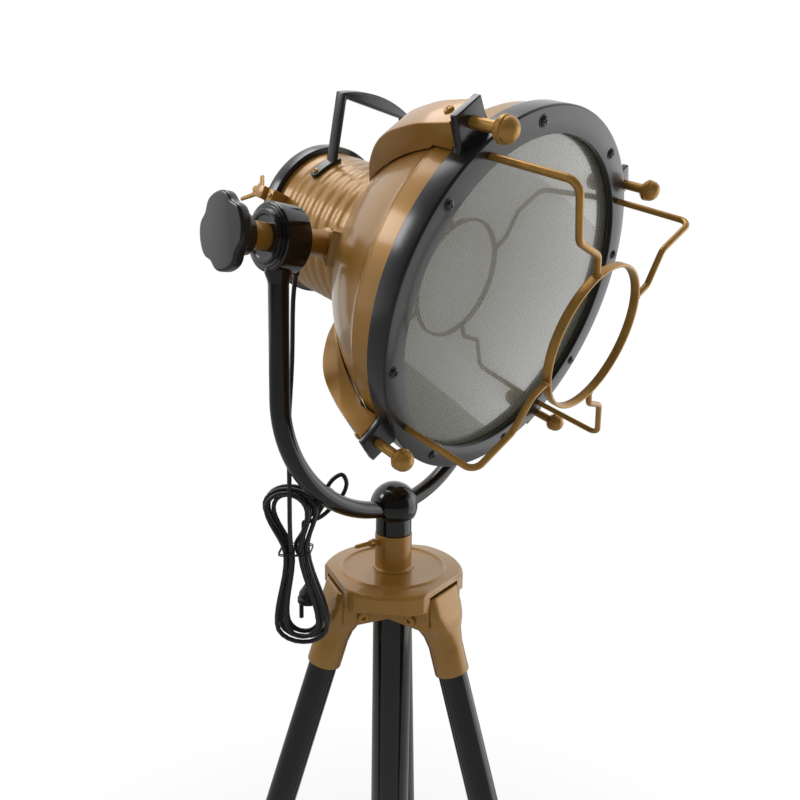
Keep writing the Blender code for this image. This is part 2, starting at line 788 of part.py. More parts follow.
def bezel():
    """The front ring: a flat flange with a deep side wall and four lugs for the clamp bolts."""
    inner = BEZEL_R - BEZEL_WALL
    profile = [
        (BEZEL_OPENING, FACE),
        (BEZEL_R - 0.0012, FACE),
        (BEZEL_R, FACE - 0.0012),
        (BEZEL_R, BEZEL_REAR),
        (inner, BEZEL_REAR),
        (inner, FACE - BEZEL_PLATE),
        (BEZEL_OPENING, FACE - BEZEL_PLATE),
    ]
    ring = put(turned("bezel_ring", profile, BLACK, 48, closed=True), HEAD)
    base = BEZEL_R - BEZEL_WALL * 0.8
    half = [
        (LUG_BASE_HALF, base),
        (LUG_BASE_HALF - 0.004, base + 0.0025),
        (LUG_TOP_HALF + 0.0045, base + 0.0075),
        (LUG_TOP_HALF + 0.001, LUG_TOP - 0.003),
        (LUG_TOP_HALF - 0.001, LUG_TOP),
    ]
    outline = half + [(-x, y) for x, y in reversed(half)]
    for k in range(4):
        lug = plate("bezel_lug", outline, LUG_FRONT - LUG_BACK, None)
        put(lug, HEAD, (0, 0, (LUG_FRONT + LUG_BACK) / 2), (0, 0, 45 + 90 * k))
        join(ring, lug)
    for k in range(4):
        hole = rod("clamp_hole", CLAMP_SHANK_R + GAP, (0, CLAMP_R, LUG_BACK - 0.01),
                   (0, CLAMP_R, LUG_FRONT + 0.005), None, 16)
        put(hole, HEAD, rotation=(0, 0, 45 + 90 * k))
        cut(ring, hole)
    return finish(ring)


def lens_and_gasket():
    front = LENS_BACK + LENS_THICK
    profile = [(0.0, front), (LENS_R - 0.0005, front), (LENS_R, front - 0.0005), (LENS_R, LENS_BACK),
               (0.0, LENS_BACK)]
    put(turned("lens", profile, GLASS, 36), HEAD)
    top, bottom = FACE - BEZEL_PLATE - GAP, front + GAP
    profile = [(BEZEL_OPENING + 0.0004, top), (LENS_R, top), (LENS_R, bottom), (BEZEL_OPENING + 0.0004, bottom)]
    put(turned("lens_gasket", profile, RUBBER, 28, closed=True), HEAD)


def cowl(k):
    """A folded cover behind each lug: a raised flat for the bolt, then a curve down the dome."""
    back = LUG_BACK - GAP
    curve_start = Vector((COWL_STEP - 0.003, COWL_HEAD_R - 0.0065 - COWL_STEP_H))
    tip = Vector((COWL_TIP, dome_radius(COWL_TIP) + COWL_SKIN))
    chord = tip - curve_start
    bulge = Vector((chord.y, -chord.x)).normalized()
    if bulge.y < 0:
        bulge = -bulge
    top = [(back, COWL_HEAD_R), (COWL_STEP, COWL_HEAD_R - 0.0055)]
    for i in range(7):
        t = i / 6
        rise = COWL_BULGE * (4 * t * (1 - t)) ** 0.62
        point = curve_start + chord * (t ** 1.15) + bulge * rise
        top.append((point.x, point.y))
    stations = [COWL_TIP + (SEAM - COWL_TIP) * i / 4 for i in (1, 2, 3)] + [SEAM + 0.002]
    under = [(z, dome_radius(z) + COWL_SKIN) for z in stations]
    under.append((BEZEL_REAR - 0.001, BAND_R + COWL_SKIN))
    under.append((BEZEL_REAR - GAP, BEZEL_R + GAP))
    under.append((back, BEZEL_R + GAP))
    cover = plate(f"cowl_{k + 1}", top + under, COWL_WIDTH, BRONZE)
    round_edges(cover, 0.0008, 1, 60)
    lined = [(back - 3 * COWL_WALL, top[0][1] - COWL_WALL), (COWL_STEP, top[1][1] - COWL_WALL)]
    lined += [(z, r - COWL_WALL) for z, r in top[2:-2]]
    lined += [(lined[-1][0] + 0.004, lined[-1][1] - 0.015), (back - 3 * COWL_WALL, BEZEL_R - 0.02)]
    hollow = plate("cowl_hollow", lined, COWL_WIDTH - 2 * COWL_WALL, None)
    turn = Matrix(((0, 0, 1, 0), (0, 1, 0, 0), (1, 0, 0, 0), (0, 0, 0, 1)))
    for shape in (cover, hollow):
        shape.data.transform(turn)
        shape.data.flip_normals()
        put(shape, HEAD, rotation=(0, 0, 45 + 90 * k))
    hole = rod("cowl_hole", CLAMP_SHANK_R + GAP, (0, CLAMP_R, CLAMP_TAIL - 0.002), (0, CLAMP_R, LUG_BACK + 0.01),
               None, 16)
    put(hole, HEAD, rotation=(0, 0, 45 + 90 * k))
    return finish(cut(cover, hollow, hole))


def clamp_knob(k):
    """A bolt through the lug with a ball grip: a dome in front of a groove and a straight band."""
    r, s = CLAMP_BALL_R, CLAMP_SHANK_R
    profile = [
        (0.0, r),
        (r * 0.5, r * 0.88),
        (r * 0.84, r * 0.56),
        (r * 0.98, r * 0.16),
        (r * 0.92, r * 0.08),
        (r, 0.0),
        (r, -r * 0.38),
        (r * 0.80, -r * 0.66),
        (s, -r * 0.80),
        (s, CLAMP_TAIL - CLAMP_BALL_Z),
        (0.0, CLAMP_TAIL - CLAMP_BALL_Z),
    ]
    knob = turned(f"clamp_knob_{k + 1}", profile, BRONZE, 10)
    knob_place = polar(CLAMP_R, 135 + 90 * k, CLAMP_BALL_Z)
    return put(knob, HEAD, knob_place)


def guard():
    """Four wires that leave the flange, bend inwards, jog and meet a flat ring, as one weldment."""
    level = FACE + GUARD_OUT
    half_w, half_t = GUARD_RING_W / 2, GUARD_RING_T / 2
    centre = level + GUARD_LIFT
    profile = [
        (GUARD_RING_R - half_t, centre + half_w),
        (GUARD_RING_R + half_t, centre + half_w),
        (GUARD_RING_R + half_t, centre - half_w),
        (GUARD_RING_R - half_t, centre - half_w),
    ]
    ring = put(turned("guard", profile, BRONZE, 28, closed=True), HEAD)
    for k in range(4):
        up = 135 - 90 * k
        corners = [
            polar(GUARD_FOOT_R, up, FACE + GAP),
            polar(GUARD_FOOT_R - 0.001, up, level),
            polar(GUARD_JOG_R, up - GUARD_LEAN, level),
            polar(GUARD_JOG_IN, up - GUARD_TWIST + 1, centre),
            polar(GUARD_RING_R, up - GUARD_TWIST, centre),
        ]
        wire = as_mesh(tube("guard_wire", rounded_path(corners, (0.010, 0.012, 0.009), 4), WIRE_R, BRONZE, 2))
        put(wire, HEAD)
        join(ring, wire)
    return finish(ring)


def handle():
    """A strap: tabs on the drum, two legs and a grip that is straight below and crowned above."""
    inner, outer = DRUM_R + GAP, DRUM_R + HANDLE_STRAP
    tab = HANDLE_TAB_ANGLE
    leg_angle = math.degrees(math.asin((HANDLE_HALF - 0.012) / outer))
    foot_x = HANDLE_HALF - 0.012
    left = [polar(inner, 90 + a)[:2] for a in (leg_angle - 3.5, leg_angle + 5, (leg_angle + tab) / 2 + 3, tab)]
    left += [polar(outer, 90 + a)[:2] for a in (tab, (leg_angle + tab) / 2 + 3, leg_angle + 4)]
    left += [(-foot_x, outer * 0.9), (-HANDLE_HALF, HANDLE_RISE)]
    crown_r = (HANDLE_HALF ** 2 + HANDLE_CROWN ** 2) / (2 * HANDLE_CROWN)
    spread = math.degrees(math.asin(HANDLE_HALF / crown_r))
    crown = arc(crown_r, 90 + spread, 90 - spread, 11, (0, HANDLE_RISE + HANDLE_CROWN - crown_r))[1:-1]
    right = [(-x, y) for x, y in reversed(left)]
    under = HANDLE_RISE - HANDLE_STRAP
    inside = [(HANDLE_HALF - HANDLE_STRAP, under), (-HANDLE_HALF + HANDLE_STRAP, under)]
    grip = plate("carry_handle", left + crown + right + inside, HANDLE_WIDTH, BLACK)
    round_edges(grip, 0.0009, 1)
    return finish(put(grip, HEAD, (0, 0, HANDLE_Z)))


def pivot_shaft(side, name):
    """The trunnion: a shaft welded to a sloping flange that bolts to the dome."""
    slope = 43.0
    seat_z = 0.010
    shaft = rod(name, SHAFT_R, (side * DRUM_R * 0.8, 0, 0), (side * (KNOB_BOSS_IN - GAP), 0, 0), BRONZE, 24)
    put(shaft, HEAD)
    turn = Matrix.Rotation(math.radians(side * slope), 3, "Y")
    reach = dome_radius(seat_z) + 0.0005
    pad = box("flange", (0.012, 0.034, 0.038), (side * reach, 0, seat_z - 0.003), None, turn)
    round_edges(pad, 0.002, 1)
    put(pad, HEAD)
    strap = box("strap", (0.009, 0.010, 0.046), (side * (DRUM_R + 0.0005), 0.0, 0), None)
    put(strap, HEAD, (0, 0, -0.022), (0, 0, -side * 11.0))
    inside = clearance_body("dome_seat", GAP)
    ribs = turned("rib_seat", [(0.0, 0.01), (DRUM_R + GAP, 0.01), (DRUM_R + GAP, -0.1), (0.0, -0.1)], None, 64)
    put(ribs, HEAD)
    return finish(cut(join(shaft, pad, strap), inside, ribs))


def tilt_knob(side, name):
    """A scalloped hand knob on the shaft's end."""
    outline = []
    for i in range(36):
        angle = 2 * math.pi * i / 36
        valley = (0.5 + 0.5 * math.cos(KNOB_LOBES * angle)) ** 2
        radius = KNOB_R - KNOB_SCALLOP * valley
        outline.append((radius * math.cos(angle), radius * math.sin(angle)))
    disc = plate(name, outline, KNOB_THICK, BLACK)
    round_edges(disc, 0.002, 1)
    centre = KNOB_FACE - KNOB_THICK / 2
    put(disc, HEAD, (side * centre, 0, 0), (0, side * 90, 0))
    boss = rod("knob_boss", KNOB_BOSS_R, (side * KNOB_BOSS_IN, 0, 0), (side * (centre - 0.002), 0, 0), None, 32)
    put(boss, HEAD)
    return finish(join(disc, boss))


# Rear cover

def rear_cover():
    """The black cap on the drum's rear, with a hinge knuckle and a lug for the latch screw."""
    line = [(COVER_R, COVER_FRONT), (COVER_R, COVER_RIM + 0.002), (COVER_R - 0.002, COVER_RIM)]
    for share in (0.75, 0.4, 0.0):
        line.append((COVER_R * share, COVER_RIM - COVER_DOME * (1 - share ** 2)))
    for share in (0.0, 0.6):
        line.append((COVER_R * share, COVER_RIM - COVER_DOME * (1 - share ** 2) + COVER_WALL))
    line += [(COVER_BORE, COVER_RIM + COVER_WALL), (COVER_BORE, COVER_FRONT)]
    axis_in = line.index((0.0, COVER_RIM - COVER_DOME + COVER_WALL))
    profile = line[axis_in:] + line[:axis_in]
    cap = turned("rear_cover", profile, BLACK, 30)
    knuckle = rod("knuckle", KNUCKLE_R, (HINGE_X, -KNUCKLE_HALF, HINGE_Z), (HINGE_X, KNUCKLE_HALF, HINGE_Z),
                  None, 16)
    arm = box("knuckle_arm", (HINGE_X - COVER_R + 0.004, 2 * KNUCKLE_HALF, 0.004),
              ((HINGE_X + COVER_R - 0.001) / 2, 0, HINGE_Z - 0.0055), None)
    post = box("knuckle_post", (0.0046, 2 * KNUCKLE_HALF, 0.006), (HINGE_X, 0, HINGE_Z - 0.0045), None)
    bore = rod("knuckle_bore", HINGE_PIN_R + GAP, (HINGE_X, -0.02, HINGE_Z), (HINGE_X, 0.02, HINGE_Z), None, 16)
    lug = box("latch_lug", (0.017, LATCH_BLOCK, LATCH_BLOCK),
              (-LATCH_X + 0.0015, 0, COVER_RIM - LATCH_BLOCK / 2 + 0.002), None)
    round_edges(lug, 0.001, 1)
    hole = rod("latch_hole", LATCH_SCREW_R + GAP, (-LATCH_X, 0, COVER_RIM - 0.02),
               (-LATCH_X, 0, COVER_RIM + 0.01), None, 16)
    for piece in (cap, knuckle, arm, post, bore, lug, hole):
        put(piece, REAR)
    return finish(cut(join(cap, knuckle, arm, post, lug), bore, hole))


def drum_seat(name):
    """A solid of the drum's rear end, grown by the gap, that seats what is fastened on it."""
    seat_r, front, rear = DRUM_R + GAP, RIB_FIRST + 2 * RIB_PITCH, DRUM_REAR - LATCH_BLOCK
    return put(turned(name, [(0.0, front), (seat_r, front), (seat_r, rear), (0.0, rear)], None, 64), HEAD)


def cover_hinge():
    pin = rod("cover_hinge", HINGE_PIN_R, (HINGE_X, -HINGE_HALF, HINGE_Z), (HINGE_X, HINGE_HALF, HINGE_Z),
              BRONZE, 16)
    put(pin, REAR)
    for sign in (-1, 1):
        inner, outer = sign * (KNUCKLE_HALF + GAP), sign * (HINGE_HALF + 0.001)
        mid, width = (inner + outer) / 2, abs(outer - inner)
        ear = rod("hinge_ear", KNUCKLE_R, (HINGE_X, inner, HINGE_Z), (HINGE_X, outer, HINGE_Z), None, 16)
        leaf = box("hinge_leaf", (HINGE_X - DRUM_R + 0.006, width, 0.0045),
                   ((HINGE_X + DRUM_R - 0.006) / 2, mid, HINGE_Z + 0.0022), None)
        for piece in (ear, leaf):
            put(piece, REAR)
        join(pin, ear, leaf)
    base = box("hinge_base", (0.008, 2 * HINGE_HALF + 0.002, 0.018), (DRUM_R, 0, HINGE_Z + 0.012), None)
    put(base, REAR)
    join(pin, base)
    return finish(cut(pin, drum_seat("hinge_seat")))


def latch():
    """The block on the drum that the latch screw enters, and the screw with its wing head."""
    front = COVER_FRONT + 0.0025
    block = box("latch_block", (LATCH_X - DRUM_R + 0.012, LATCH_BLOCK, LATCH_BLOCK),
                (-(LATCH_X + DRUM_R) / 2, 0, front + LATCH_BLOCK / 2), BRONZE)
    round_edges(block, 0.001, 1)
    hole = rod("block_hole", LATCH_SCREW_R + GAP, (-LATCH_X, 0, front - 0.005), (-LATCH_X, 0, front + 0.010),
               None, 16)
    for piece in (block, hole):
        put(piece, REAR)
    finish(cut(block, drum_seat("block_seat"), hole))

    back = COVER_RIM + 0.002 - LATCH_BLOCK - GAP
    shank = rod("latch_screw", LATCH_SCREW_R, (0, 0, front + 0.008), (0, 0, back - 0.010), BRONZE, 16)
    nut = rod("wing_hub", 0.005, (0, 0, back), (0, 0, back - 0.010), None, 14)
    outline = [(0.0, 0.004), (0.005, 0.003), (0.013, 0.010), (0.0145, 0.0075), (0.006, -0.004)]
    outline = outline + [(-x, y) for x, y in reversed(outline) if x > 0]
    wings = plate("wings", [(x, -y) for x, y in outline], 0.0026, None)
    wings.data.transform(Matrix.Rotation(math.radians(90), 4, "X"))
    for piece in (shank, nut):
        put(piece, REAR, (-LATCH_X, 0, 0))
    put(wings, REAR, (-LATCH_X, 0, back - 0.0055))
    return finish(join(shank, nut, wings))


# Inside the head

def inner_parts():
    """A reflector bowl, the lamp holder behind it and the bulb."""
    rim_z = LENS_BACK - GAP - REFLECTOR_WALL
    floor_z = rim_z - REFLECTOR_DEPTH
    line = []
    for i in range(4):
        r = REFLECTOR_R + (REFLECTOR_NECK - REFLECTOR_R) * i / 3
        share = (r ** 2 - REFLECTOR_NECK ** 2) / (REFLECTOR_R ** 2 - REFLECTOR_NECK ** 2)
        line.append((r, floor_z + (rim_z - floor_z) * share))
    line = [(LENS_R, rim_z)] + line + [(REFLECTOR_NECK, floor_z - 0.010)]
    put(solidify(turned("reflector", line, CHROME, 20), REFLECTOR_WALL), HEAD)

    top = floor_z - 0.004
    bore = BULB_NECK_R + GAP
    profile = [
        (bore, top),
        (HOLDER_R, top),
        (HOLDER_R, top - HOLDER_LENGTH),
        (0.0, top - HOLDER_LENGTH),
    ]
    profile = [(0.0, top - 0.030), (bore, top - 0.030)] + profile
    holder = turned("lamp_holder", profile, CERAMIC, 16)
    put(holder, HEAD)
    drum_flat = (DRUM_R - RIB_HEIGHT - SHELL) * math.cos(math.pi / DRUM_SIDES) - GAP
    reach = math.sqrt(drum_flat ** 2 - (HOLDER_BAR / 2) ** 2)
    bar = box("holder_bar", (2 * reach, HOLDER_BAR, 0.003),
              (0, 0, top - HOLDER_LENGTH - 0.001), None)
    put(bar, HEAD)
    finish(join(holder, bar))

    seat = top - 0.030 + GAP
    profile = [(0.0, seat + 0.108), (0.015, seat + 0.104), (0.026, seat + 0.093), (BULB_R, seat + 0.078),
               (0.026, seat + 0.060), (BULB_NECK_R, seat + 0.031), (BULB_NECK_R, seat + 0.003), (0.008, seat),
               (0.0, seat)]
    put(turned("bulb", profile, BULB, 12), HEAD)


# Cord

def hank_point(turn):
    """A point of the hank in its own frame: X across, Y through the layers, Z up from the tie."""
    climb = 0.25
    layer = 0.0
    for edge in range(1, HANK_LAYERS):
        share = min(max((turn - edge * HANK_PER_LAYER + climb) / (2 * climb), 0.0), 1.0)
        layer += share * share * (3 - 2 * share)
    fold = turn % (2 * HANK_PER_LAYER)
    grow = min(fold, 2 * HANK_PER_LAYER - fold)
    angle = 2 * math.pi * turn
    up, side = -math.sin(angle), -math.cos(angle)
    reach = (HANK_UP if up > 0 else HANK_DOWN) + HANK_RISE * grow
    waist = HANK_WAIST + HANK_STEP * grow
    open_half = HANK_HALF + HANK_FAN * grow
    flare = HANK_UP_FLARE if up > 0 else HANK_DOWN_FLARE
    if abs(up) < flare:
        share = abs(up) / flare
        width = waist + (open_half - waist) * share * share * (3 - 2 * share)
    else:
        share = (abs(up) - flare) / (1 - flare)
        width = open_half * math.sqrt(max(0.0, 1 - share * share))
    return Vector((math.copysign(width, side) - HANK_LEAN * up, layer * HANK_STEP, reach * up))


def hank_path():
    """The loops, with a straight lead in at the front and a lead out behind."""
    count = int(HANK_TURNS * HANK_POINTS)
    loops = [hank_point(i / HANK_POINTS) for i in range(count + 1)]
    first, last = loops[0], loops[-1]
    top = HANK_UP + HANK_RISE * HANK_PER_LAYER + 3 * CORD_R
    front, back = -1.05 * HANK_STEP, (HANK_LAYERS + 0.05) * HANK_STEP
    enter, leave = 0.036, 0.014
    lead_in = [(first.x, front, top), (first.x, front, top - 2.5 * CORD_R), (first.x, front, enter + 0.012),
               (first.x, front, enter), (first.x, front * 0.8, enter * 0.66), (first.x, front * 0.25, enter * 0.28)]
    lead_out = [(last.x, last.y + (back - last.y) * 0.5, leave * 0.5), (last.x, back, leave),
                (last.x, back, leave + 2.5 * CORD_R)]
    return [Vector(p) for p in lead_in] + loops + [Vector(p) for p in lead_out]


def least_gap(path, reach=0.014):
    """Least distance between parts of a path that are further apart along it than the reach."""
    fine = []
    for a, b in zip(path, path[1:]):
        steps = max(1, math.ceil((b - a).length / 0.002))
        fine += [a.lerp(b, i / steps) for i in range(steps)]
    fine.append(path[-1])
    along = [0.0]
    for a, b in zip(fine, fine[1:]):
        along.append(along[-1] + (b - a).length)
    least = 1.0
    for i, a in enumerate(fine):
        for j in range(i + 1, len(fine)):
            if along[j] - along[i] > reach:
                least = min(least, (a - fine[j]).length)
    return least - 2 * CORD_R


def cord():
    """The lead down the arm, the tied hank, the switch and the plug on the cord's end."""
    level = pivot_height()
    exit_z = level - 0.0165
    exit_y = 0.0145
    grommet_x = -HUB_IN + GAP
    grommet = rod("cord_grommet", GROMMET_R, (grommet_x, exit_y, exit_z),
                  (grommet_x + GROMMET_LENGTH, exit_y, exit_z), RUBBER, 12)
    put(grommet, PAN)

    origin = Vector((CORD_X, CORD_Y, level + HANK_Z))
    turn = Matrix.Rotation(math.radians(HANK_TURN), 3, "Z")
    path = hank_path()
    put(tube("cord_hank", path, CORD_R, BLACK_PVC, 1), PAN, origin, (0, 0, HANK_TURN))
    print(f"hank: least gap to itself {least_gap(path) * 1000:.2f} mm")

    start = origin + turn @ path[0]
    ahead = grommet_x + GROMMET_LENGTH + GAP
    straight = 2.2 * CORD_R
    lead = [
        (ahead, exit_y, exit_z),
        (ahead + straight, exit_y, exit_z),
        (CORD_X + 0.0018, 0.0155, exit_z - 0.0080),
        (CORD_X + 0.0055, 0.0255, level - 0.055),
        (CORD_X + 0.0128, 0.0373, level - 0.115),
        (start.x + 0.0100, start.y + 0.0130, level - 0.175),
        (start.x, start.y, start.z + 0.022),
        (start.x, start.y, start.z + straight),
        (start.x, start.y, start.z + GAP),
    ]
    put(tube("cord_lead", smooth_path(lead, 3), CORD_R, BLACK_PVC, 2), PAN)

    lean = math.radians(SWITCH_LEAN)
    along = Vector((math.sin(lean), 0, math.cos(lean)))
    middle = Vector((0.021, 0.034, 0.046))
    half = SWITCH_SIZE[2] / 2 + GAP
    end = path[-1]
    loop = [
        end + Vector((0, 0, GAP)),
        end + Vector((0, 0, straight)),
        Vector((0.013, 0.0230, 0.027)),
        Vector((0.024, 0.0265, 0.031)),
        Vector((0.033, 0.0310, 0.038)),
        Vector((0.042, 0.0345, 0.047)),
        Vector((0.048, 0.0360, 0.057)),
        Vector((0.0495, 0.0355, 0.067)),
        Vector((0.044, 0.0348, 0.0745)),
        middle + along * (half + straight),
        middle + along * half,
    ]
    put(tube("cord_loop", smooth_path(loop, 2), CORD_R, BLACK_PVC, 2), PAN, origin, (0, 0, HANK_TURN))

    switch = box("cord_switch", SWITCH_SIZE, (0, 0, 0), BLACK_PVC)
    round_edges(switch, 0.0025, 2)
    switch.data.transform(Matrix.Rotation(lean, 4, "Y"))
    finish(put(switch, PAN, origin + turn @ middle, (0, 0, HANK_TURN)))

    behind = HANK_LAYERS * HANK_STEP + 0.0002
    plug_top = Vector((0.010, 0.033, -0.036))
    tail = [
        middle - along * half,
        middle - along * (half + straight),
        Vector((0.004, 0.027, 0.013)),
        Vector((-0.0015, behind, 0.004)),
        Vector((-0.0015, behind, -0.004)),
        Vector((0.003, 0.026, -0.015)),
        plug_top + Vector((0, 0, straight)),
        plug_top + Vector((0, 0, GAP)),
    ]
    put(tube("cord_tail", smooth_path(tail, 1), CORD_R, BLACK_PVC, 2), PAN, origin, (0, 0, HANK_TURN))

    profile = [(0.0, 0.0), (CORD_R + 0.0012, 0.0), (CORD_R + 0.0022, -0.012), (PLUG_R, 0.012 - PLUG_BODY),
               (PLUG_R, 0.001 - PLUG_BODY), (PLUG_R - 0.001, -PLUG_BODY), (0.0, -PLUG_BODY)]
    plug = put(turned("cord_plug", profile, BLACK_PVC, 14), PAN, origin + turn @ plug_top)
    for sign in (-1, 1):
        pin_x = sign * PLUG_R * 0.68
        pin = rod("plug_pin", 0.0024, (pin_x, 0, 0.004 - PLUG_BODY), (pin_x, 0, -PLUG_BODY - PLUG_PIN), None, 10)
        join(plug, put(pin, PAN, origin + turn @ plug_top, (0, 0, HANK_TURN)))
    finish(plug)

    room = CORD_R + 0.0004
    half_x = HANK_WAIST + HANK_STEP * HANK_PER_LAYER + room + 0.0008
    front, rear = -room - 0.0004, behind + room
    centre, depth = (rear + front) / 2, rear - front
    tie = box("cord_tie", (2 * (half_x + TIE_WALL), depth + 2 * TIE_WALL, TIE_WIDTH), (0, centre, 0), BLACK_PVC)
    bore = box("tie_bore", (2 * half_x, depth, 0.02), (0, centre, 0), None)
    for piece in (tie, bore):
        put(piece, PAN, origin, (0, 0, HANK_TURN))
    finish(cut(tie, bore))


# Place

def centre_outline():
    """Moves the whole lamp so that the outline of its rigid pieces is centred on the origin."""
    bpy.context.view_layer.update()
    graph = bpy.context.evaluated_depsgraph_get()
    low, high = Vector((9, 9, 9)), Vector((-9, -9, -9))
    for obj in PARTS.objects:
        if obj.type == "EMPTY" or obj.name.startswith("cord_"):
            continue
        shown = obj.evaluated_get(graph)
        for corner in shown.to_mesh().vertices:
            place = shown.matrix_world @ corner.co
            for i in range(3):
                low[i], high[i] = min(low[i], place[i]), max(high[i], place[i])
        shown.to_mesh_clear()
    TRIPOD.location = (-(low.x + high.x) / 2, -(low.y + high.y) / 2, 0)


for old in list(bpy.data.objects):
    bpy.data.objects.remove(old)

PARTS = bpy.data.collections.new("spotlight_floor_lamp")
GUIDES = bpy.data.collections.new("cutters")
bpy.context.scene.collection.children.link(PARTS)
bpy.context.scene.collection.children.link(GUIDES)

BRONZE = material("bronze_paint", (0.38, 0.21, 0.055), 0.34, 0.75)
BLACK = material("black_gloss_paint", (0.012, 0.012, 0.013), 0.18, 0.0)
STEEL = material("plated_steel", (0.55, 0.55, 0.55), 0.25, 1.0)
CHROME = material("bright_reflector", (0.85, 0.85, 0.85), 0.12, 1.0)
GLASS = material("prismatic_glass", (0.33, 0.34, 0.29), 0.25, 0.0)
RUBBER = material("black_rubber", (0.02, 0.02, 0.02), 0.8, 0.0)
CERAMIC = material("white_ceramic", (0.85, 0.84, 0.80), 0.3, 0.0)
BULB = material("opal_bulb", (0.90, 0.88, 0.82), 0.2, 0.0)
BLACK_PVC = material("black_pvc", (0.015, 0.015, 0.017), 0.45, 0.0)

TRIPOD = empty("tripod_axis")
LEGS = [empty(f"leg_hinge_{k + 1}", TRIPOD,
              polar(LEG_PIVOT_R, LEG_AZIMUTH + 120 * k, PLATE_TOP - LEG_PIVOT_DROP),
              (0, -SPLAY, LEG_AZIMUTH + 120 * k)) for k in range(3)]
MAST = empty("mast_slide", TRIPOD, (0, 0, PLATE_TOP))
SCREW = empty("wing_screw_axis", TRIPOD, (0, 0, PLATE_TOP + SCREW_HEIGHT), (0, 0, SCREW_AZIMUTH))
PAN = empty("pan_axis", MAST, (0, 0, COLLAR_H))
TILT = empty("tilt_axis", PAN, (0, 0, pivot_height()), (TILT_REST, 0, 0))
HEAD = empty("head_frame", TILT, (0, 0, 0), (90, 0, 0))
REAR = empty("rear_frame", HEAD, (0, 0, 0), (0, 0, -COVER_TURN))

tripod_plate()
collar_and_mast()
wing_screw()
for number in range(3):
    leg(number)
yoke_hub()
for side_sign, side_name in ((-1, "left"), (1, "right")):
    yoke_arm(side_sign, f"yoke_arm_{side_name}")
    pivot_hub(side_sign, f"pivot_hub_{side_name}")
    pivot_shaft(side_sign, f"pivot_shaft_{side_name}")
    tilt_knob(side_sign, f"tilt_knob_{side_name}")
lamp_shells()
bezel()
lens_and_gasket()
guard()
handle()
for number in range(4):
    cowl(number)
    clamp_knob(number)
rear_cover()
cover_hinge()
latch()
inner_parts()
cord()
centre_outline()
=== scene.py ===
"""Spotlight floor lamp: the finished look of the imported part, in metres, in the part's own frame."""
import math

import bmesh
import bpy
from mathutils import Matrix, Vector


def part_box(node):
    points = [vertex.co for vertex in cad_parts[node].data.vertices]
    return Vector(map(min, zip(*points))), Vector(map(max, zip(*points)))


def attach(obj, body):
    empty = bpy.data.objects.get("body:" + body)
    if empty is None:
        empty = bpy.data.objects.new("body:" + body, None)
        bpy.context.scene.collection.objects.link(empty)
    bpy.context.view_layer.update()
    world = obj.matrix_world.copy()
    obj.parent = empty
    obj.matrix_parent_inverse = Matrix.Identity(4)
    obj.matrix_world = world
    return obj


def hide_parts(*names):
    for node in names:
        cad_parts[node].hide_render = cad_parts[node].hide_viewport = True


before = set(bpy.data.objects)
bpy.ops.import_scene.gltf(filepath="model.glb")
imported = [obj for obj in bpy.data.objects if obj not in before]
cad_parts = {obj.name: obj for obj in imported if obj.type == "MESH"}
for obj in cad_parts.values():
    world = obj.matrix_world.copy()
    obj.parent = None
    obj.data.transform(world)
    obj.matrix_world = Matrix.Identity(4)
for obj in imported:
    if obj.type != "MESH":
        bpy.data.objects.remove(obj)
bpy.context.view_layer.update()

# Sizes of the lamp, most of them as its solids have them. The plate's fall, bead, skirt, sockets, collar,
# neck, thumb screw, hubs, knobs, ribs, lugs, cowls, handle and latch follow the photograph instead.

PLATE_TOP = 1.100
PLATE_R = 0.0804
PLATE_FLAT = 0.0698
PLATE_DROP = 0.0006
PLATE_LIP = 0.008
BEAD_R = 0.0584
BEAD_H = 0.0020
SKIRT_DEPTH = 0.0215
SKIRT_WALL = 0.006
SKIRT_ARCH = 0.003
EAR_DEPTH = 0.045
EAR_WALL = 0.006
SLOT_WIDTH = 0.056
SLOT_INNER = 0.030
LEG_AZIMUTH = 156.0
SPLAY = 18.0
LEG_PIVOT_R = 0.050
LEG_PIVOT_DROP = 0.036
LEG_OFFSET = 0.0116
LEG_TUBE_R = 0.016
SOCKET_BLOCK = 0.020
SOCKET_TOP = 0.018
SOCKET_R = 0.019
SOCKET_LENGTH = 0.071
SOCKET_SEAT = 0.050
BOLT_HEAD_R = 0.0062
BOLT_HEAD_H = 0.004
BOLT_SHANK_R = 0.004
BOLT_POCKET = 0.0058
BOLT_POCKET_DEEP = 0.020
FOOT_R = 0.0195
FOOT_LENGTH = 0.036
FOOT_SOLE = 0.008
COLUMN_R = 0.0225
COLUMN_LENGTH = 0.470
MAST_R = 0.0158
MAST_WALL = 0.0016
MAST_LENGTH = 0.400
COLLAR_R = 0.0211
COLLAR_H = 0.0408
SCREW_HEIGHT = 0.033
SCREW_AZIMUTH = 165.0
SCREW_R = 0.003
WING_LONG = 0.0135
WING_WIDE = 0.0095
WING_THICK = 0.0042
WING_REACH = 0.036
WING_SPIN = 78.0
WING_ROLL = 28.0
YOKE_HALF = 0.1575
YOKE_TUBE_R = 0.0095
YOKE_STRAIGHT = 0.1437
YOKE_DEPTH = 0.138
BALL_R = 0.027
NECK_R = 0.0204
NECK_DROP = 0.031
BALL_LIFT = 0.0015
BALL_CUT = 0.0125
HUB_R = 0.0305
HUB_IN = 0.1425
HUB_OUT = 0.1695
HUB_STEP_R = 0.0238
HUB_STEP_H = 0.004
SHAFT_R = 0.0125
TRUNNION_Z = 0.010
TRUNNION_SLOPE = 43.0
TRUNNION_PAD = (0.012, 0.034, 0.038)
TRUNNION_BOLT_Y = 0.0125
TRUNNION_BOLT_Z = 0.0145
TRUNNION_STRAP = (0.009, 0.010, 0.046)
TRUNNION_STRAP_TURN = 11.0
TRUNNION_STRAP_Z = -0.022
KNOB_R = 0.0327
KNOB_LOBES = 4
KNOB_NOTCH = 0.0038
KNOB_NOTCH_AT = 73.0
KNOB_THICK = 0.010
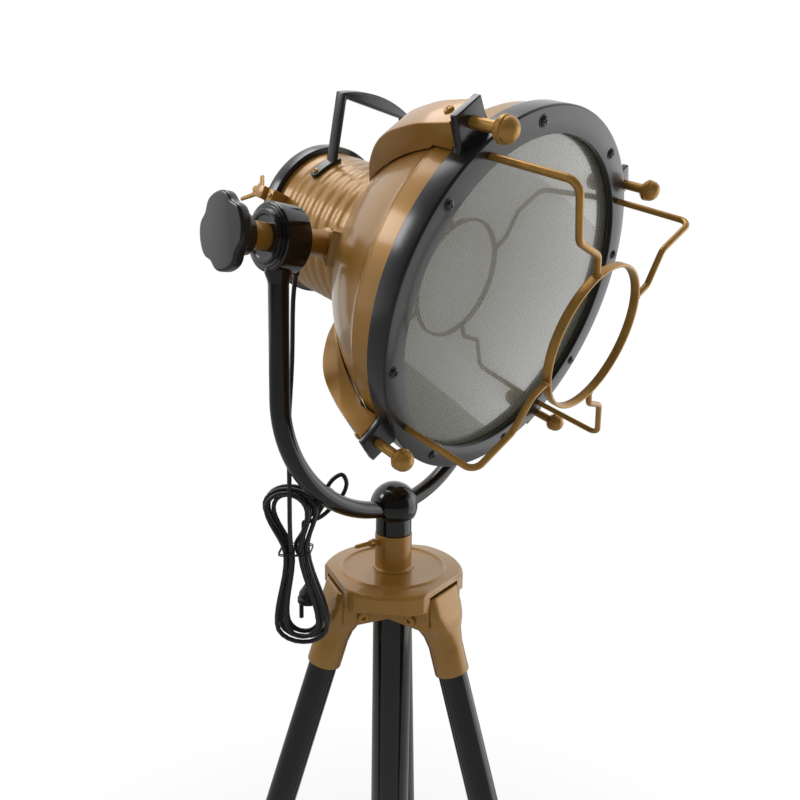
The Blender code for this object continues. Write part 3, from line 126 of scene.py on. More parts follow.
KNOB_FACE = 0.2157
KNOB_BOSS_R = 0.0177
KNOB_BOSS_IN = 0.1905
TILT_REST = 20.0
FACE = 0.164
BEZEL_R = 0.170
BEZEL_OPENING = 0.1481
BEZEL_PLATE = 0.004
BEZEL_WALL = 0.0032
BEZEL_REAR = 0.1435
BEZEL_SCREW_R = 0.1595
LENS_BACK = 0.152
LENS_FRONT = 0.156
LENS_R = 0.1658
BAND_FRONT = 0.1504
BAND_R = 0.1662
SEAM_R = 0.163
SEAM = 0.118
SEAM_BEAD = 0.0012
DOME_BULGE = 0.0105
DOME_END_R = 0.0808
DOME_END = -0.0025
DOME_REAR = -0.0105
SHELL = 0.0015
DRUM_R = 0.079
DRUM_FRONT = -0.0035
DRUM_REAR = -0.1255
RIB_FIRST = -0.1050
RIB_PITCH = 0.0152
RIB_COUNT = 6
RIB_HEIGHT = 0.0008
LUG_BACK = 0.146
LUG_FRONT = 0.1525
LUG_TOP = 0.195
LUG_TOP_HALF = 0.0135
LUG_BASE_HALF = 0.0190
CLAMP_R = 0.1828
CLAMP_SHANK_R = 0.0044
CLAMP_BALL_R = 0.0096
CLAMP_BALL_Z = 0.1825
CLAMP_TAIL = 0.136
COWL_WIDTH = 0.030
COWL_HEAD_R = 0.1904
COWL_STEP = 0.1175
COWL_FALL = 0.0056
COWL_TIP = 0.0205
COWL_SKIN = 0.0008
COWL_BOLT_Z = 0.1320
COWL_SWEEP = ((0.0967, 0.1785), (0.0705, 0.1672), (0.0506, 0.1526), (0.0335, 0.1322),
              (0.0260, 0.1180))
WIRE_R = 0.00285
GUARD_FOOT_R = 0.158
GUARD_OUT = 0.0745
GUARD_RING_R = 0.064
GUARD_RING_T = 0.003
GUARD_RING_W = 0.008
GUARD_LIFT = 0.002
GUARD_TWIST = 9.5
GUARD_LEAN = -3.0
GUARD_JOG_R = 0.110
GUARD_JOG_IN = 0.084
HANDLE_Z = -0.088
HANDLE_WIDTH = 0.013
HANDLE_STRAP = 0.0045
HANDLE_HALF = 0.0510
HANDLE_RISE = 0.1360
HANDLE_CROWN = 0.009
HANDLE_TAB_ANGLE = 52.0
COVER_BORE = 0.0795
COVER_R = 0.085
COVER_FRONT = -0.1195
COVER_RIM = -0.1355
COVER_DOME = 0.012
COVER_WALL = 0.002
COVER_TURN = 12.0
HINGE_X = 0.0915
HINGE_Z = -0.117
HINGE_PIN_R = 0.002
KNUCKLE_R = 0.0036
KNUCKLE_HALF = 0.008
HINGE_HALF = 0.015
LATCH_X = 0.0925
LATCH_SCREW_R = 0.0025
LATCH_BLOCK = 0.014
LATCH_LUG_Z = -0.1275
LATCH_KEEPER_Z = -0.1105
LATCH_KEEPER = 0.010
LATCH_LUG_DEEP = 0.017
LATCH_WING_THICK = 0.0026
LATCH_WING_TURN = 65.0
REFLECTOR_R = 0.145
REFLECTOR_DEPTH = 0.085
REFLECTOR_NECK = 0.030
REFLECTOR_WALL = 0.001
HOLDER_R = 0.022
HOLDER_LENGTH = 0.070
HOLDER_BAR = 0.014
BULB_R = 0.030
BULB_NECK_R = 0.0135

# The cord, by the same route as its solids
CORD_R = 0.0023
GROMMET_R = 0.0048
CORD_X = -0.127
CORD_Y = 0.020
CORD_EXIT_IN = 0.136
CORD_EXIT_Y = 0.0145
CORD_EXIT_DROP = 0.0165
HANK_LAYERS = 4
HANK_PER_LAYER = 1.5
HANK_TURNS = 5.5
HANK_POINTS = 48
HANK_STEP = 0.0057
HANK_WAIST = 0.0031
HANK_HALF = 0.0145
HANK_FAN = 0.0090
HANK_RISE = 0.0058
HANK_UP = 0.0590
HANK_UP_FLARE = 0.72
HANK_DOWN = 0.0880
HANK_DOWN_FLARE = 0.81
HANK_LEAN = 0.008
HANK_Z = -0.308
HANK_TURN = -48.0
SWITCH_SIZE = (0.016, 0.014, 0.034)
SWITCH_LEAN = 30.0
PLUG_R = 0.0125
PLUG_BODY = 0.031
PLUG_PIN = 0.019
TIE_WALL = 0.0014
RELIEF_LENGTH = 0.024
GAP = 0.0003


# Places: the tripod's axis, the pan axis above it, and the head's own frame with Z along the beam

def shifted(x=0.0, y=0.0, z=0.0):
    """A place moved along the axes."""
    return Matrix.Translation((x, y, z))


def spun_to(degrees, axis="Z"):
    """A place turned about an axis."""
    return Matrix.Rotation(math.radians(degrees), 4, axis)


def axis_of(node):
    """The middle of a solid's box, which for a round upright solid is on its axis."""
    low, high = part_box(node)
    return (low + high) / 2


LEVEL = NECK_DROP + YOKE_STRAIGHT + YOKE_DEPTH
AXIS = axis_of("centre_column")
TRIPOD = shifted(AXIS.x, AXIS.y, PLATE_TOP)
PAN = TRIPOD @ shifted(z=COLLAR_H)
HEAD = PAN @ shifted(z=LEVEL) @ spun_to(90 + TILT_REST, "X")
REAR = HEAD @ spun_to(-COVER_TURN)
SCREW = TRIPOD @ shifted(z=SCREW_HEIGHT) @ spun_to(SCREW_AZIMUTH)
HANK = PAN @ shifted(CORD_X, CORD_Y, LEVEL + HANK_Z) @ spun_to(HANK_TURN)


def polar(radius, degrees, z=0.0):
    """A point at a radius and an angle about Z."""
    angle = math.radians(degrees)
    return Vector((radius * math.cos(angle), radius * math.sin(angle), z))


LEGS = [TRIPOD @ Matrix.Translation(polar(LEG_PIVOT_R, LEG_AZIMUTH + 120 * k, -LEG_PIVOT_DROP))
        @ spun_to(LEG_AZIMUTH + 120 * k) @ spun_to(-SPLAY, "Y") for k in range(3)]


# Tools that shape a bmesh

def sealed(bm):
    """Merges doubled points, closes open ends and turns every face outwards."""
    bmesh.ops.remove_doubles(bm, verts=bm.verts, dist=1e-6)
    rims = [e for e in bm.edges if e.is_boundary]
    if rims:
        bmesh.ops.holes_fill(bm, edges=rims, sides=0)
    bmesh.ops.recalc_face_normals(bm, faces=bm.faces)
    return bm


def arc(radius, start, end, count, centre=(0.0, 0.0)):
    """Points of an arc between two angles in degrees."""
    angles = [math.radians(start + (end - start) * i / (count - 1)) for i in range(count)]
    return [(centre[0] + radius * math.cos(a), centre[1] + radius * math.sin(a)) for a in angles]


def rounded(corners, closed=False, count=4):
    """Corners of a line as (x, y) or (x, y, fillet); each fillet becomes an arc."""
    line = []
    for i, (x, y, *fillet) in enumerate(corners):
        corner = Vector((x, y))
        if not fillet or not closed and i in (0, len(corners) - 1):
            line.append(corner)
            continue
        back = (Vector(corners[i - 1][:2]) - corner).normalized()
        ahead = (Vector(corners[(i + 1) % len(corners)][:2]) - corner).normalized()
        half = back.angle(ahead) / 2
        first, last = (corner + way * fillet[0] / math.tan(half) for way in (back, ahead))
        centre = corner + (back + ahead).normalized() * fillet[0] / math.sin(half)
        for step in range(count + 1):
            chord = first.lerp(last, step / count) - centre
            line.append(centre + chord.normalized() * fillet[0])
    return line


def lathe(corners, steps=96, closed=False, count=4):
    """A line of (radius, height, fillet) spun round Z into a closed form."""
    bm = bmesh.new()
    points = [bm.verts.new((x, 0, y)) for x, y in rounded(corners, closed, count)]
    runs = list(zip(points, points[1:]))
    if closed:
        runs.append((points[-1], points[0]))
    line = points + [bm.edges.new(run) for run in runs]
    bmesh.ops.spin(bm, geom=line, cent=(0, 0, 0), axis=(0, 0, 1), angle=2 * math.pi, steps=steps,
                   use_merge=True)
    return sealed(bm)


def slab(outline, thickness):
    """A flat outline in XY with half its thickness to each side."""
    bm = bmesh.new()
    face = bm.faces.new([bm.verts.new((x, y, -thickness / 2)) for x, y in outline])
    grown = bmesh.ops.extrude_face_region(bm, geom=[face], use_keep_orig=True)["geom"]
    bmesh.ops.translate(bm, vec=(0, 0, thickness),
                        verts=[v for v in grown if isinstance(v, bmesh.types.BMVert)])
    return sealed(bm)


def block(size, place=Matrix()):
    """A plain box of the given size."""
    bm = bmesh.new()
    bmesh.ops.create_cube(bm, size=1.0)
    bmesh.ops.scale(bm, vec=size, verts=bm.verts)
    bmesh.ops.transform(bm, matrix=place, verts=bm.verts)
    return bm


def bar(radius, start, end, sides=48):
    """A plain round bar between two points."""
    start, end = Vector(start), Vector(end)
    bm = bmesh.new()
    turn = (end - start).to_track_quat("Z", "Y").to_matrix().to_4x4()
    bmesh.ops.create_cone(bm, cap_ends=True, segments=sides, radius1=radius, radius2=radius,
                          depth=(end - start).length, matrix=Matrix.Translation((start + end) / 2) @ turn)
    return bm


def eased(bm, width, segments=3, angle=35.0):
    """Bevels every edge that is sharper than the angle."""
    edges = [e for e in bm.edges if e.is_manifold and e.calc_face_angle() > math.radians(angle)]
    bmesh.ops.bevel(bm, geom=edges, offset=width, offset_type="OFFSET", segments=segments, profile=0.5,
                    affect="EDGES", clamp_overlap=True, material=-1)
    return bm


def drawn_out(path, radii, sides=24):
    """A ring extruded along a path, with its own radius at each point."""
    if not isinstance(radii, (list, tuple)):
        radii = [radii] * len(path)
    places = []
    side = (path[1] - path[0]).orthogonal().normalized()
    for i, point in enumerate(path):
        along = (path[min(i + 1, len(path) - 1)] - path[max(i - 1, 0)]).normalized()
        side = (side - along * side.dot(along)).normalized()
        turn = Matrix((side, along.cross(side), along)).transposed().to_4x4()
        places.append(Matrix.Translation(point) @ turn @ Matrix.Diagonal((radii[i], radii[i], 1, 1)))
    bm = bmesh.new()
    ring = bmesh.ops.create_circle(bm, segments=sides, radius=1.0, matrix=places[0])["verts"]
    loop = list({e for v in ring for e in v.link_edges})
    for before, after in zip(places, places[1:]):
        grown = bmesh.ops.extrude_edge_only(bm, edges=loop)["geom"]
        loop = [e for e in grown if isinstance(e, bmesh.types.BMEdge)
                and not any(v in ring for v in e.verts)]
        ring = [v for v in grown if isinstance(v, bmesh.types.BMVert)]
        bmesh.ops.transform(bm, matrix=after @ before.inverted(), verts=ring)
    return sealed(bm)


def lofted(sections):
    """Closed sections of equal counts, bridged one to the next and capped."""
    bm = bmesh.new()
    loops = []
    for section in sections:
        ring = [bm.verts.new(p) for p in section]
        loops.append([bm.edges.new(pair) for pair in zip(ring, ring[1:] + ring[:1])])
    for upper, lower in zip(loops, loops[1:]):
        bmesh.ops.bridge_loops(bm, edges=upper + lower)
    return sealed(bm)


def joined(bm, *others):
    """Adds closed forms to a form, as pieces welded or screwed to it."""
    for other in others:
        mesh = bpy.data.meshes.new("joined")
        other.to_mesh(mesh)
        other.free()
        bm.from_mesh(mesh)
        bpy.data.meshes.remove(mesh)
    return bm


def set_at(bm, place):
    """Moves a form to its place and gives it back."""
    bmesh.ops.transform(bm, matrix=place, verts=bm.verts)
    return bm


def loose(bm, name="loose"):
    """Makes an object of a form."""
    mesh = bpy.data.meshes.new(name)
    bm.to_mesh(mesh)
    bm.free()
    obj = bpy.data.objects.new(name, mesh)
    bpy.context.scene.collection.objects.link(obj)
    return obj


def carved(bm, *cutters):
    """Cuts the cutters out of a form."""
    body = loose(bm)
    tools = [loose(cutter, "cutter") for cutter in cutters]
    for tool in tools:
        cut = body.modifiers.new("cut", "BOOLEAN")
        cut.operation = "DIFFERENCE"
        cut.solver = "EXACT"
        cut.object = tool
    graph = bpy.context.evaluated_depsgraph_get()
    mesh = bpy.data.meshes.new_from_object(body.evaluated_get(graph))
    result = bmesh.new()
    result.from_mesh(mesh)
    for obj in (body, *tools):
        bpy.data.meshes.remove(obj.data)
    bpy.data.meshes.remove(mesh)
    return result


def rounded_path(corners, radii, count=10):
    """A path through the corners, each one rounded by its own radius."""
    path = [Vector(corners[0])]
    for before, corner, after, radius in zip(corners, corners[1:], corners[2:], radii):
        before, corner, after = Vector(before), Vector(corner), Vector(after)
        back, ahead = (before - corner).normalized(), (after - corner).normalized()
        half = back.angle(ahead) / 2
        first, last = (corner + way * radius / math.tan(half) for way in (back, ahead))
        centre = corner + (back + ahead).normalized() * radius / math.sin(half)
        for i in range(count):
            chord = first.lerp(last, i / (count - 1)) - centre
            path.append(centre + chord.normalized() * radius)
    path.append(Vector(corners[-1]))
    return path


def smooth_path(corners, count=3):
    """A smooth curve through the given points, whose first and last runs are straight."""
    start, *inner, end = [Vector(c) for c in corners]
    before = inner[1] - 2 * (inner[1] - inner[0]).length * (inner[0] - start).normalized()
    after = inner[-2] + 2 * (inner[-1] - inner[-2]).length * (end - inner[-1]).normalized()
    knots = [before, *inner, after]
    path = [start]
    for a, b, c, d in zip(knots, knots[1:], knots[2:], knots[3:]):
        for i in range(count):
            t = i / count
            path.append(0.5 * (2 * b + (c - a) * t + (2 * a - 5 * b + 4 * c - d) * t ** 2
                               + (3 * b - a - 3 * c + d) * t ** 3))
    return path + [inner[-1], end]


# Finishes

def linear(code):
    """An sRGB hex colour as linear light."""
    parts = [int(code[i:i + 2], 16) / 255 for i in (1, 3, 5)]
    return [p / 12.92 if p <= 0.04045 else ((p + 0.055) / 1.055) ** 2.4 for p in parts] + [1.0]


def add_node(tree, kind, sockets=None, **settings):
    """Adds a node with its settings; a socket is given a value or another node's output."""
    node = tree.nodes.new(kind)
    for name, value in settings.items():
        setattr(node, name, value)
    for name, value in (sockets or {}).items():
        if isinstance(value, bpy.types.NodeSocket):
            tree.links.new(value, node.inputs[name])
        else:
            node.inputs[name].default_value = value
    return node


def finish_of(name, tones, patch, gloss, grain, depth, **fixed):
    """A finish: two close tones in soft patches, uneven gloss, and a skin of fine bumps.

    Patch and grain are the sizes of the soft patches and of the bumps, and depth the bumps' height.
    """
    mat = bpy.data.materials.new(name)
    mat.use_nodes = True
    tree = mat.node_tree
    shader = tree.nodes["Principled BSDF"]
    place = add_node(tree, "ShaderNodeTexCoord").outputs["Object"]
    patches = add_node(tree, "ShaderNodeTexNoise", {"Vector": place, "Scale": 1 / patch, "Detail": 4.0,
                                                    "Roughness": 0.55})
    spread = add_node(tree, "ShaderNodeMapRange", {"Value": patches.outputs["Fac"], "From Min": 0.3,
                                                   "From Max": 0.7})
    tint = add_node(tree, "ShaderNodeMixRGB", {"Fac": spread.outputs["Result"], "Color1": linear(tones[0]),
                                               "Color2": linear(tones[1])})
    dull = add_node(tree, "ShaderNodeMapRange", {"Value": spread.outputs["Result"], "To Min": gloss[0],
                                                 "To Max": gloss[1]})
    skin = add_node(tree, "ShaderNodeTexNoise", {"Vector": place, "Scale": 1 / grain, "Detail": 2.0})
    bump = add_node(tree, "ShaderNodeBump", {"Height": skin.outputs["Fac"], "Strength": 1.0,
                                             "Distance": depth})
    tree.links.new(tint.outputs["Color"], shader.inputs["Base Color"])
    tree.links.new(dull.outputs["Result"], shader.inputs["Roughness"])
    tree.links.new(bump.outputs["Normal"], shader.inputs["Normal"])
    for socket, value in fixed.items():
        shader.inputs[socket.replace("_", " ")].default_value = value
    return mat


# Metallic bronze lacquer, sprayed on spun and pressed sheet: soft wide glow, slight orange peel
BRONZE_LACQUER = finish_of("bronze_lacquer", ("#9A6E28", "#A47730"), 0.045, (0.36, 0.42), 0.0022, 0.000003,
                           Metallic=0.35, Coat_Weight=0.45, Coat_Roughness=0.12)
# The same lacquer on a sand-cast part: finer grain stands through it, so its glow is duller
BRONZE_CASTING = finish_of("bronze_lacquered_casting", ("#9C712E", "#A87C38"), 0.030, (0.34, 0.42), 0.0011,
                           0.000004, Metallic=0.38, Coat_Weight=0.6, Coat_Roughness=0.10)
# Turned brass with a bronze dip, for knobs, bolts and wires: warmer, with a smaller highlight
BRONZE_BRIGHT = finish_of("bronze_dipped_brass", ("#A87C3A", "#B68A48"), 0.012, (0.28, 0.36), 0.0008,
                          0.000002, Metallic=0.55)
# Stoved black enamel on tube and cast hubs: mirror-like gloss with a faint orange peel
BLACK_ENAMEL = finish_of("black_stove_enamel", ("#0B0B0C", "#121214"), 0.060, (0.09, 0.14), 0.0030, 0.000003,
                         Coat_Weight=0.2, Coat_Roughness=0.05)
# The same enamel on pressed rings and knobs, a shade greyer and softer
BLACK_SATIN = finish_of("black_satin_enamel", ("#18181A", "#1F1F21"), 0.050, (0.20, 0.27), 0.0016, 0.000002,
                        Coat_Weight=0.15, Coat_Roughness=0.12)
# Blackened steel screws: dark metal with a small hard glint
BLACKENED_STEEL = finish_of("blackened_steel", ("#3A3A3D", "#55555A"), 0.004, (0.22, 0.34), 0.0006, 0.000006,
                            Metallic=0.9)
# Nickel-plated tube of the sliding mast: bright, with a faint bloom
PLATED_STEEL = finish_of("nickel_plate", ("#B9B7B0", "#C8C6C0"), 0.030, (0.16, 0.24), 0.0010, 0.000004,
                         Metallic=1.0)
# Spun and polished aluminium of the reflector: bright, slightly hazy
REFLECTOR_METAL = finish_of("polished_aluminium", ("#D6D6D4", "#E2E2E0"), 0.025, (0.14, 0.22), 0.0012,
                            0.000004, Metallic=1.0)
# Glazed steatite of the lamp holder: cream white, wet gloss
STEATITE = finish_of("glazed_steatite", ("#DEDACD", "#E9E6DB"), 0.015, (0.18, 0.26), 0.0014, 0.000010,
                     Coat_Weight=0.5)
# Opal glass of the bulb: milky white with a clean gloss
OPAL_GLASS = finish_of("opal_glass", ("#E9E6DC", "#F1EFE7"), 0.020, (0.10, 0.14), 0.0030, 0.000003,
                       Subsurface_Weight=0.4, Subsurface_Scale=0.01)
# Moulded rubber of the feet: near black, matt, a little dusty
MOULDED_RUBBER = finish_of("moulded_rubber", ("#1B1B1A", "#2A2A28"), 0.010, (0.72, 0.85), 0.0007, 0.000030)
# Extruded sealing rubber behind the flange: dark olive, dull
SEALING_RUBBER = finish_of("olive_sealing_rubber", ("#33321F", "#43412B"), 0.012, (0.55, 0.70), 0.0009,
                           0.000020)
# Extruded PVC sheath of the cord: black with a soft sheen along it
PVC_SHEATH = finish_of("black_pvc_sheath", ("#161618", "#1F1F22"), 0.020, (0.34, 0.44), 0.0010, 0.000012,
                       Coat_Weight=0.2, Coat_Roughness=0.3)
# Injection-moulded PVC of the plug, switch and strain relief: fine spark texture, duller than the cord
MOULDED_PVC = finish_of("moulded_black_pvc", ("#19191B", "#222225"), 0.012, (0.42, 0.55), 0.0005, 0.000015)


PRISM_ACROSS = 0.0040
PRISM_DOWN = 0.0030


def prismatic_glass():
    """Pressed glass with rows of small prisms: a grey-green field of fine dots with a soft mirror on it. The
    dots are painted light and shade: lighter on the prisms' crests and darker between them, over a faint
    bump.

    The prisms are 3 to 4 mm apart, coarser than pressed lens glass, so that the dots show in the render.
    """
    mat = bpy.data.materials.new("prismatic_pressed_glass")
    mat.use_nodes = True
    tree = mat.node_tree
    shader = tree.nodes["Principled BSDF"]
    uv = add_node(tree, "ShaderNodeTexCoord").outputs["UV"]
    rows = add_node(tree, "ShaderNodeMapping", {"Vector": uv, "Rotation": (0, 0, math.radians(8)),
                                                "Scale": (math.tau / PRISM_ACROSS,
                                                          math.tau / PRISM_DOWN, 1.0)})
    split = add_node(tree, "ShaderNodeSeparateXYZ", {"Vector": rows.outputs["Vector"]})
    across = add_node(tree, "ShaderNodeMath", {0: split.outputs["X"]}, operation="SINE")
    down = add_node(tree, "ShaderNodeMath", {0: split.outputs["Y"]}, operation="SINE")
    prisms = add_node(tree, "ShaderNodeMath", {0: across.outputs["Value"], 1: down.outputs["Value"]},
                      operation="MULTIPLY")
    # Painted light and shade of the prisms: the relief's height picks a lighter colour on the crests and a
    # darker one in the hollows
    prism_light_and_shade = add_node(tree, "ShaderNodeMapRange", {"Value": prisms.outputs["Value"], "From Min": -0.6,
                                                  "From Max": 0.6})
    cloud = add_node(tree, "ShaderNodeTexNoise", {"Vector": uv, "Scale": 9.0, "Detail": 2.0})
    deep = add_node(tree, "ShaderNodeMixRGB", {"Fac": cloud.outputs["Fac"], "Color1": linear("#565648"),
                                               "Color2": linear("#666556")})
    tint = add_node(tree, "ShaderNodeMixRGB", {"Fac": prism_light_and_shade.outputs["Result"],
                                               "Color1": deep.outputs["Color"],
                                               "Color2": linear("#86857A")})
    bump = add_node(tree, "ShaderNodeBump", {"Height": prisms.outputs["Value"], "Strength": 0.35,
                                             "Distance": 0.00012})
    tree.links.new(tint.outputs["Color"], shader.inputs["Base Color"])
    tree.links.new(bump.outputs["Normal"], shader.inputs["Normal"])
    shader.inputs["Roughness"].default_value = 0.22
    shader.inputs["IOR"].default_value = 1.52
    shader.inputs["Transmission Weight"].default_value = 0.15
    shader.inputs["Coat Weight"].default_value = 1.0
    shader.inputs["Coat Roughness"].default_value = 0.03
    return mat


LENS_GLASS = prismatic_glass()


# Putting a finished form into the scene

def show(name, bm, place, finish, body, slot, *nodes, crease=32.0):
    """Makes the piece, puts it in its place, and says what it rides on and stands for."""
    set_at(bm, place)
    if place.determinant() < 0:
        bmesh.ops.recalc_face_normals(bm, faces=bm.faces)
    obj = loose(bm, name)
    obj.data.materials.append(finish)
    obj.data.shade_smooth()
    obj.data.set_sharp_from_angle(angle=math.radians(crease))
    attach(obj, body)
    if nodes:
        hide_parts(*nodes)
    return obj


def round_head(radius, height, recess=0.0):
    """A pan-head screw's head standing on Z = 0, with a cross recess of the given depth."""
    dome = [(radius * math.cos(a), height * (0.35 + 0.65 * math.sin(a)))
            for a in (math.radians(90 - 15 * i) for i in range(7))]
    dome[0] = (0.0, height)
    head = lathe(dome + [(radius, -0.001), (0.0, -0.001)], 32)
    if not recess:
        return head
    bars = []
    for turn in (20, 110):
        place = spun_to(turn) @ shifted(z=height)
        bars.append(block((radius * 1.15, radius * 0.24, 2 * recess), place))
    return carved(head, *bars)


# Camera, light and floor

# Solved from the photograph: where its camera stood, which way it looked and how wide it saw.
# The softboxes are placed by the highlights on the head in the photograph; their power is given.
EYE = (-0.47371, -0.37093, 1.38926)
LENS_MM = 27.44
SENSOR_MM = 36.0
SIGHT = Vector((0.73433, 0.66407, -0.14061))
SIGHT_RIGHT = Vector((0.67235, -0.74006, 0.01617))
LIT_HEIGHT = 1.35
SURROUND = 0.66
SOFTBOXES = (("softbox_left", (-1.41, 1.43, 2.63), (0.6, 0.6), 9),
             ("softbox_top", (-0.05, 0.60, 3.20), (1.2, 1.0), 12),
             ("panel_front", (1.87, -1.17, 0.95), (2.2, 2.4), 17))
MIRROR_BRIGHT, MIRROR_DIM = 1.0, 0.08
FLOOR_R = 14.0
FLOOR_TONE = "#B8B8B6"
PALE_NEAR, PALE_FAR = 0.4, 1.3
PALE_LEAST = 0.78


def camera():
    """Stands where the photograph was taken from, a little below the head's height."""
    data = bpy.data.cameras.new("camera")
    data.lens = LENS_MM
    data.sensor_width = SENSOR_MM
    eye = bpy.data.objects.new("camera", data)
    ahead = SIGHT.normalized()
    right = (SIGHT_RIGHT - ahead * SIGHT_RIGHT.dot(ahead)).normalized()
    turn = Matrix((right, right.cross(ahead), -ahead)).transposed().to_4x4()
    eye.matrix_world = Matrix.Translation(EYE) @ turn
    bpy.context.scene.collection.objects.link(eye)
    bpy.context.scene.camera = eye


def softbox(name, place, target, size, power):
    """A rectangular lamp turned to its target."""
    data = bpy.data.lights.new(name, "AREA")
    data.shape = "RECTANGLE"
    data.size, data.size_y = size
    data.energy = power
    lamp = bpy.data.objects.new(name, data)
    lamp.location = place
    lamp.rotation_euler = (Vector(target) - Vector(place)).to_track_quat("-Z", "Y").to_euler()
    bpy.context.scene.collection.objects.link(lamp)


def seen_or_mirrored(tree):
    """1 for what the camera, a mirror or clear glass sees, and 0 for the light that falls on things."""
    path = add_node(tree, "ShaderNodeLightPath")
    mirrored = add_node(tree, "ShaderNodeMath", {0: path.outputs["Is Camera Ray"],
                                                 1: path.outputs["Is Glossy Ray"]}, operation="MAXIMUM")
    return add_node(tree, "ShaderNodeMath", {0: mirrored.outputs["Value"],
                                             1: path.outputs["Is Transmission Ray"]}, operation="MAXIMUM")


def studio():
    """A white surround that lights softly, dimmer in mirrors on the side where the photographer stands."""
    world = bpy.data.worlds.new("studio")
    bpy.context.scene.world = world
    world.use_nodes = True
    tree = world.node_tree
    tree.nodes.clear()
    way = add_node(tree, "ShaderNodeTexCoord").outputs["Generated"]
    toward = add_node(tree, "ShaderNodeVectorMath", {0: way, 1: tuple(-SIGHT)}, operation="DOT_PRODUCT")
    dim = add_node(tree, "ShaderNodeMapRange", {"Value": toward.outputs["Value"], "From Min": -0.20,
                                                "From Max": 0.45, "To Min": MIRROR_BRIGHT,
                                                "To Max": MIRROR_DIM},
                   interpolation_type="SMOOTHSTEP")
    path = add_node(tree, "ShaderNodeLightPath")
    level = add_node(tree, "ShaderNodeMath", {0: dim.outputs["Result"], 1: path.outputs["Is Camera Ray"]},
                     operation="MAXIMUM")
    white = (1, 1, 1, 1)
    shown = add_node(tree, "ShaderNodeBackground", {"Color": white, "Strength": level.outputs["Value"]})
    lighting = add_node(tree, "ShaderNodeBackground", {"Color": white, "Strength": SURROUND})
    either = add_node(tree, "ShaderNodeMixShader", {0: seen_or_mirrored(tree).outputs["Value"],
                                                    1: lighting.outputs["Background"],
                                                    2: shown.outputs["Background"]})
    add_node(tree, "ShaderNodeOutputWorld", {"Surface": either.outputs["Shader"]})
    centre = (AXIS.x, AXIS.y, LIT_HEIGHT)
    for name, place, size, power in SOFTBOXES:
        softbox(name, place, centre, size, power)


def floor():
    """A pale floor that keeps the lamp's shadow near the feet and is white to the eye further out."""
    bm = bmesh.new()
    bmesh.ops.create_circle(bm, cap_ends=True, segments=64, radius=FLOOR_R)
    obj = loose(bm, "floor")
    mat = bpy.data.materials.new("pale_floor_paint")
    mat.use_nodes = True
    tree = mat.node_tree
    tree.nodes.clear()
    paint = add_node(tree, "ShaderNodeBsdfDiffuse", {"Color": linear(FLOOR_TONE)})
    white = add_node(tree, "ShaderNodeEmission", {"Color": (1, 1, 1, 1), "Strength": 1.0})
    place = add_node(tree, "ShaderNodeTexCoord").outputs["Object"]
    away = add_node(tree, "ShaderNodeVectorMath", {0: place, 1: (AXIS.x, AXIS.y, 0.0)}, operation="DISTANCE")
    pale = add_node(tree, "ShaderNodeMapRange", {"Value": away.outputs["Value"], "From Min": PALE_NEAR,
                                                 "From Max": PALE_FAR, "To Min": PALE_LEAST,
                                                 "To Max": 1.0})
    path = add_node(tree, "ShaderNodeLightPath")
    share = add_node(tree, "ShaderNodeMath", {0: path.outputs["Is Camera Ray"],
                                              1: pale.outputs["Result"]}, operation="MULTIPLY")
    both = add_node(tree, "ShaderNodeMixShader", {0: share.outputs["Value"], 1: paint.outputs["BSDF"],
                                                  2: white.outputs["Emission"]})
    add_node(tree, "ShaderNodeOutputMaterial", {"Surface": both.outputs["Shader"]})
    obj.data.materials.append(mat)


# Cord: out of the left hub, down beside the arm, and tied up in a hank with its switch and plug

def hank_point(turn):
    """A point of the hank in its own frame: X across, Y through the layers, Z up from the tie."""
    climb = 0.25
    layer = 0.0
    for edge in range(1, HANK_LAYERS):
        share = min(max((turn - edge * HANK_PER_LAYER + climb) / (2 * climb), 0.0), 1.0)
        layer += share * share * (3 - 2 * share)
    fold = turn % (2 * HANK_PER_LAYER)
    grow = min(fold, 2 * HANK_PER_LAYER - fold)
    angle = 2 * math.pi * turn
    up, side = -math.sin(angle), -math.cos(angle)
    reach = (HANK_UP if up > 0 else HANK_DOWN) + HANK_RISE * grow
    waist = HANK_WAIST + HANK_STEP * grow
    open_half = HANK_HALF + HANK_FAN * grow
    flare = HANK_UP_FLARE if up > 0 else HANK_DOWN_FLARE
    if abs(up) < flare:
        share = abs(up) / flare
        width = waist + (open_half - waist) * share * share * (3 - 2 * share)
    else:
        share = (abs(up) - flare) / (1 - flare)
        width = open_half * math.sqrt(max(0.0, 1 - share * share))
    return Vector((math.copysign(width, side) - HANK_LEAN * up, layer * HANK_STEP, reach * up))


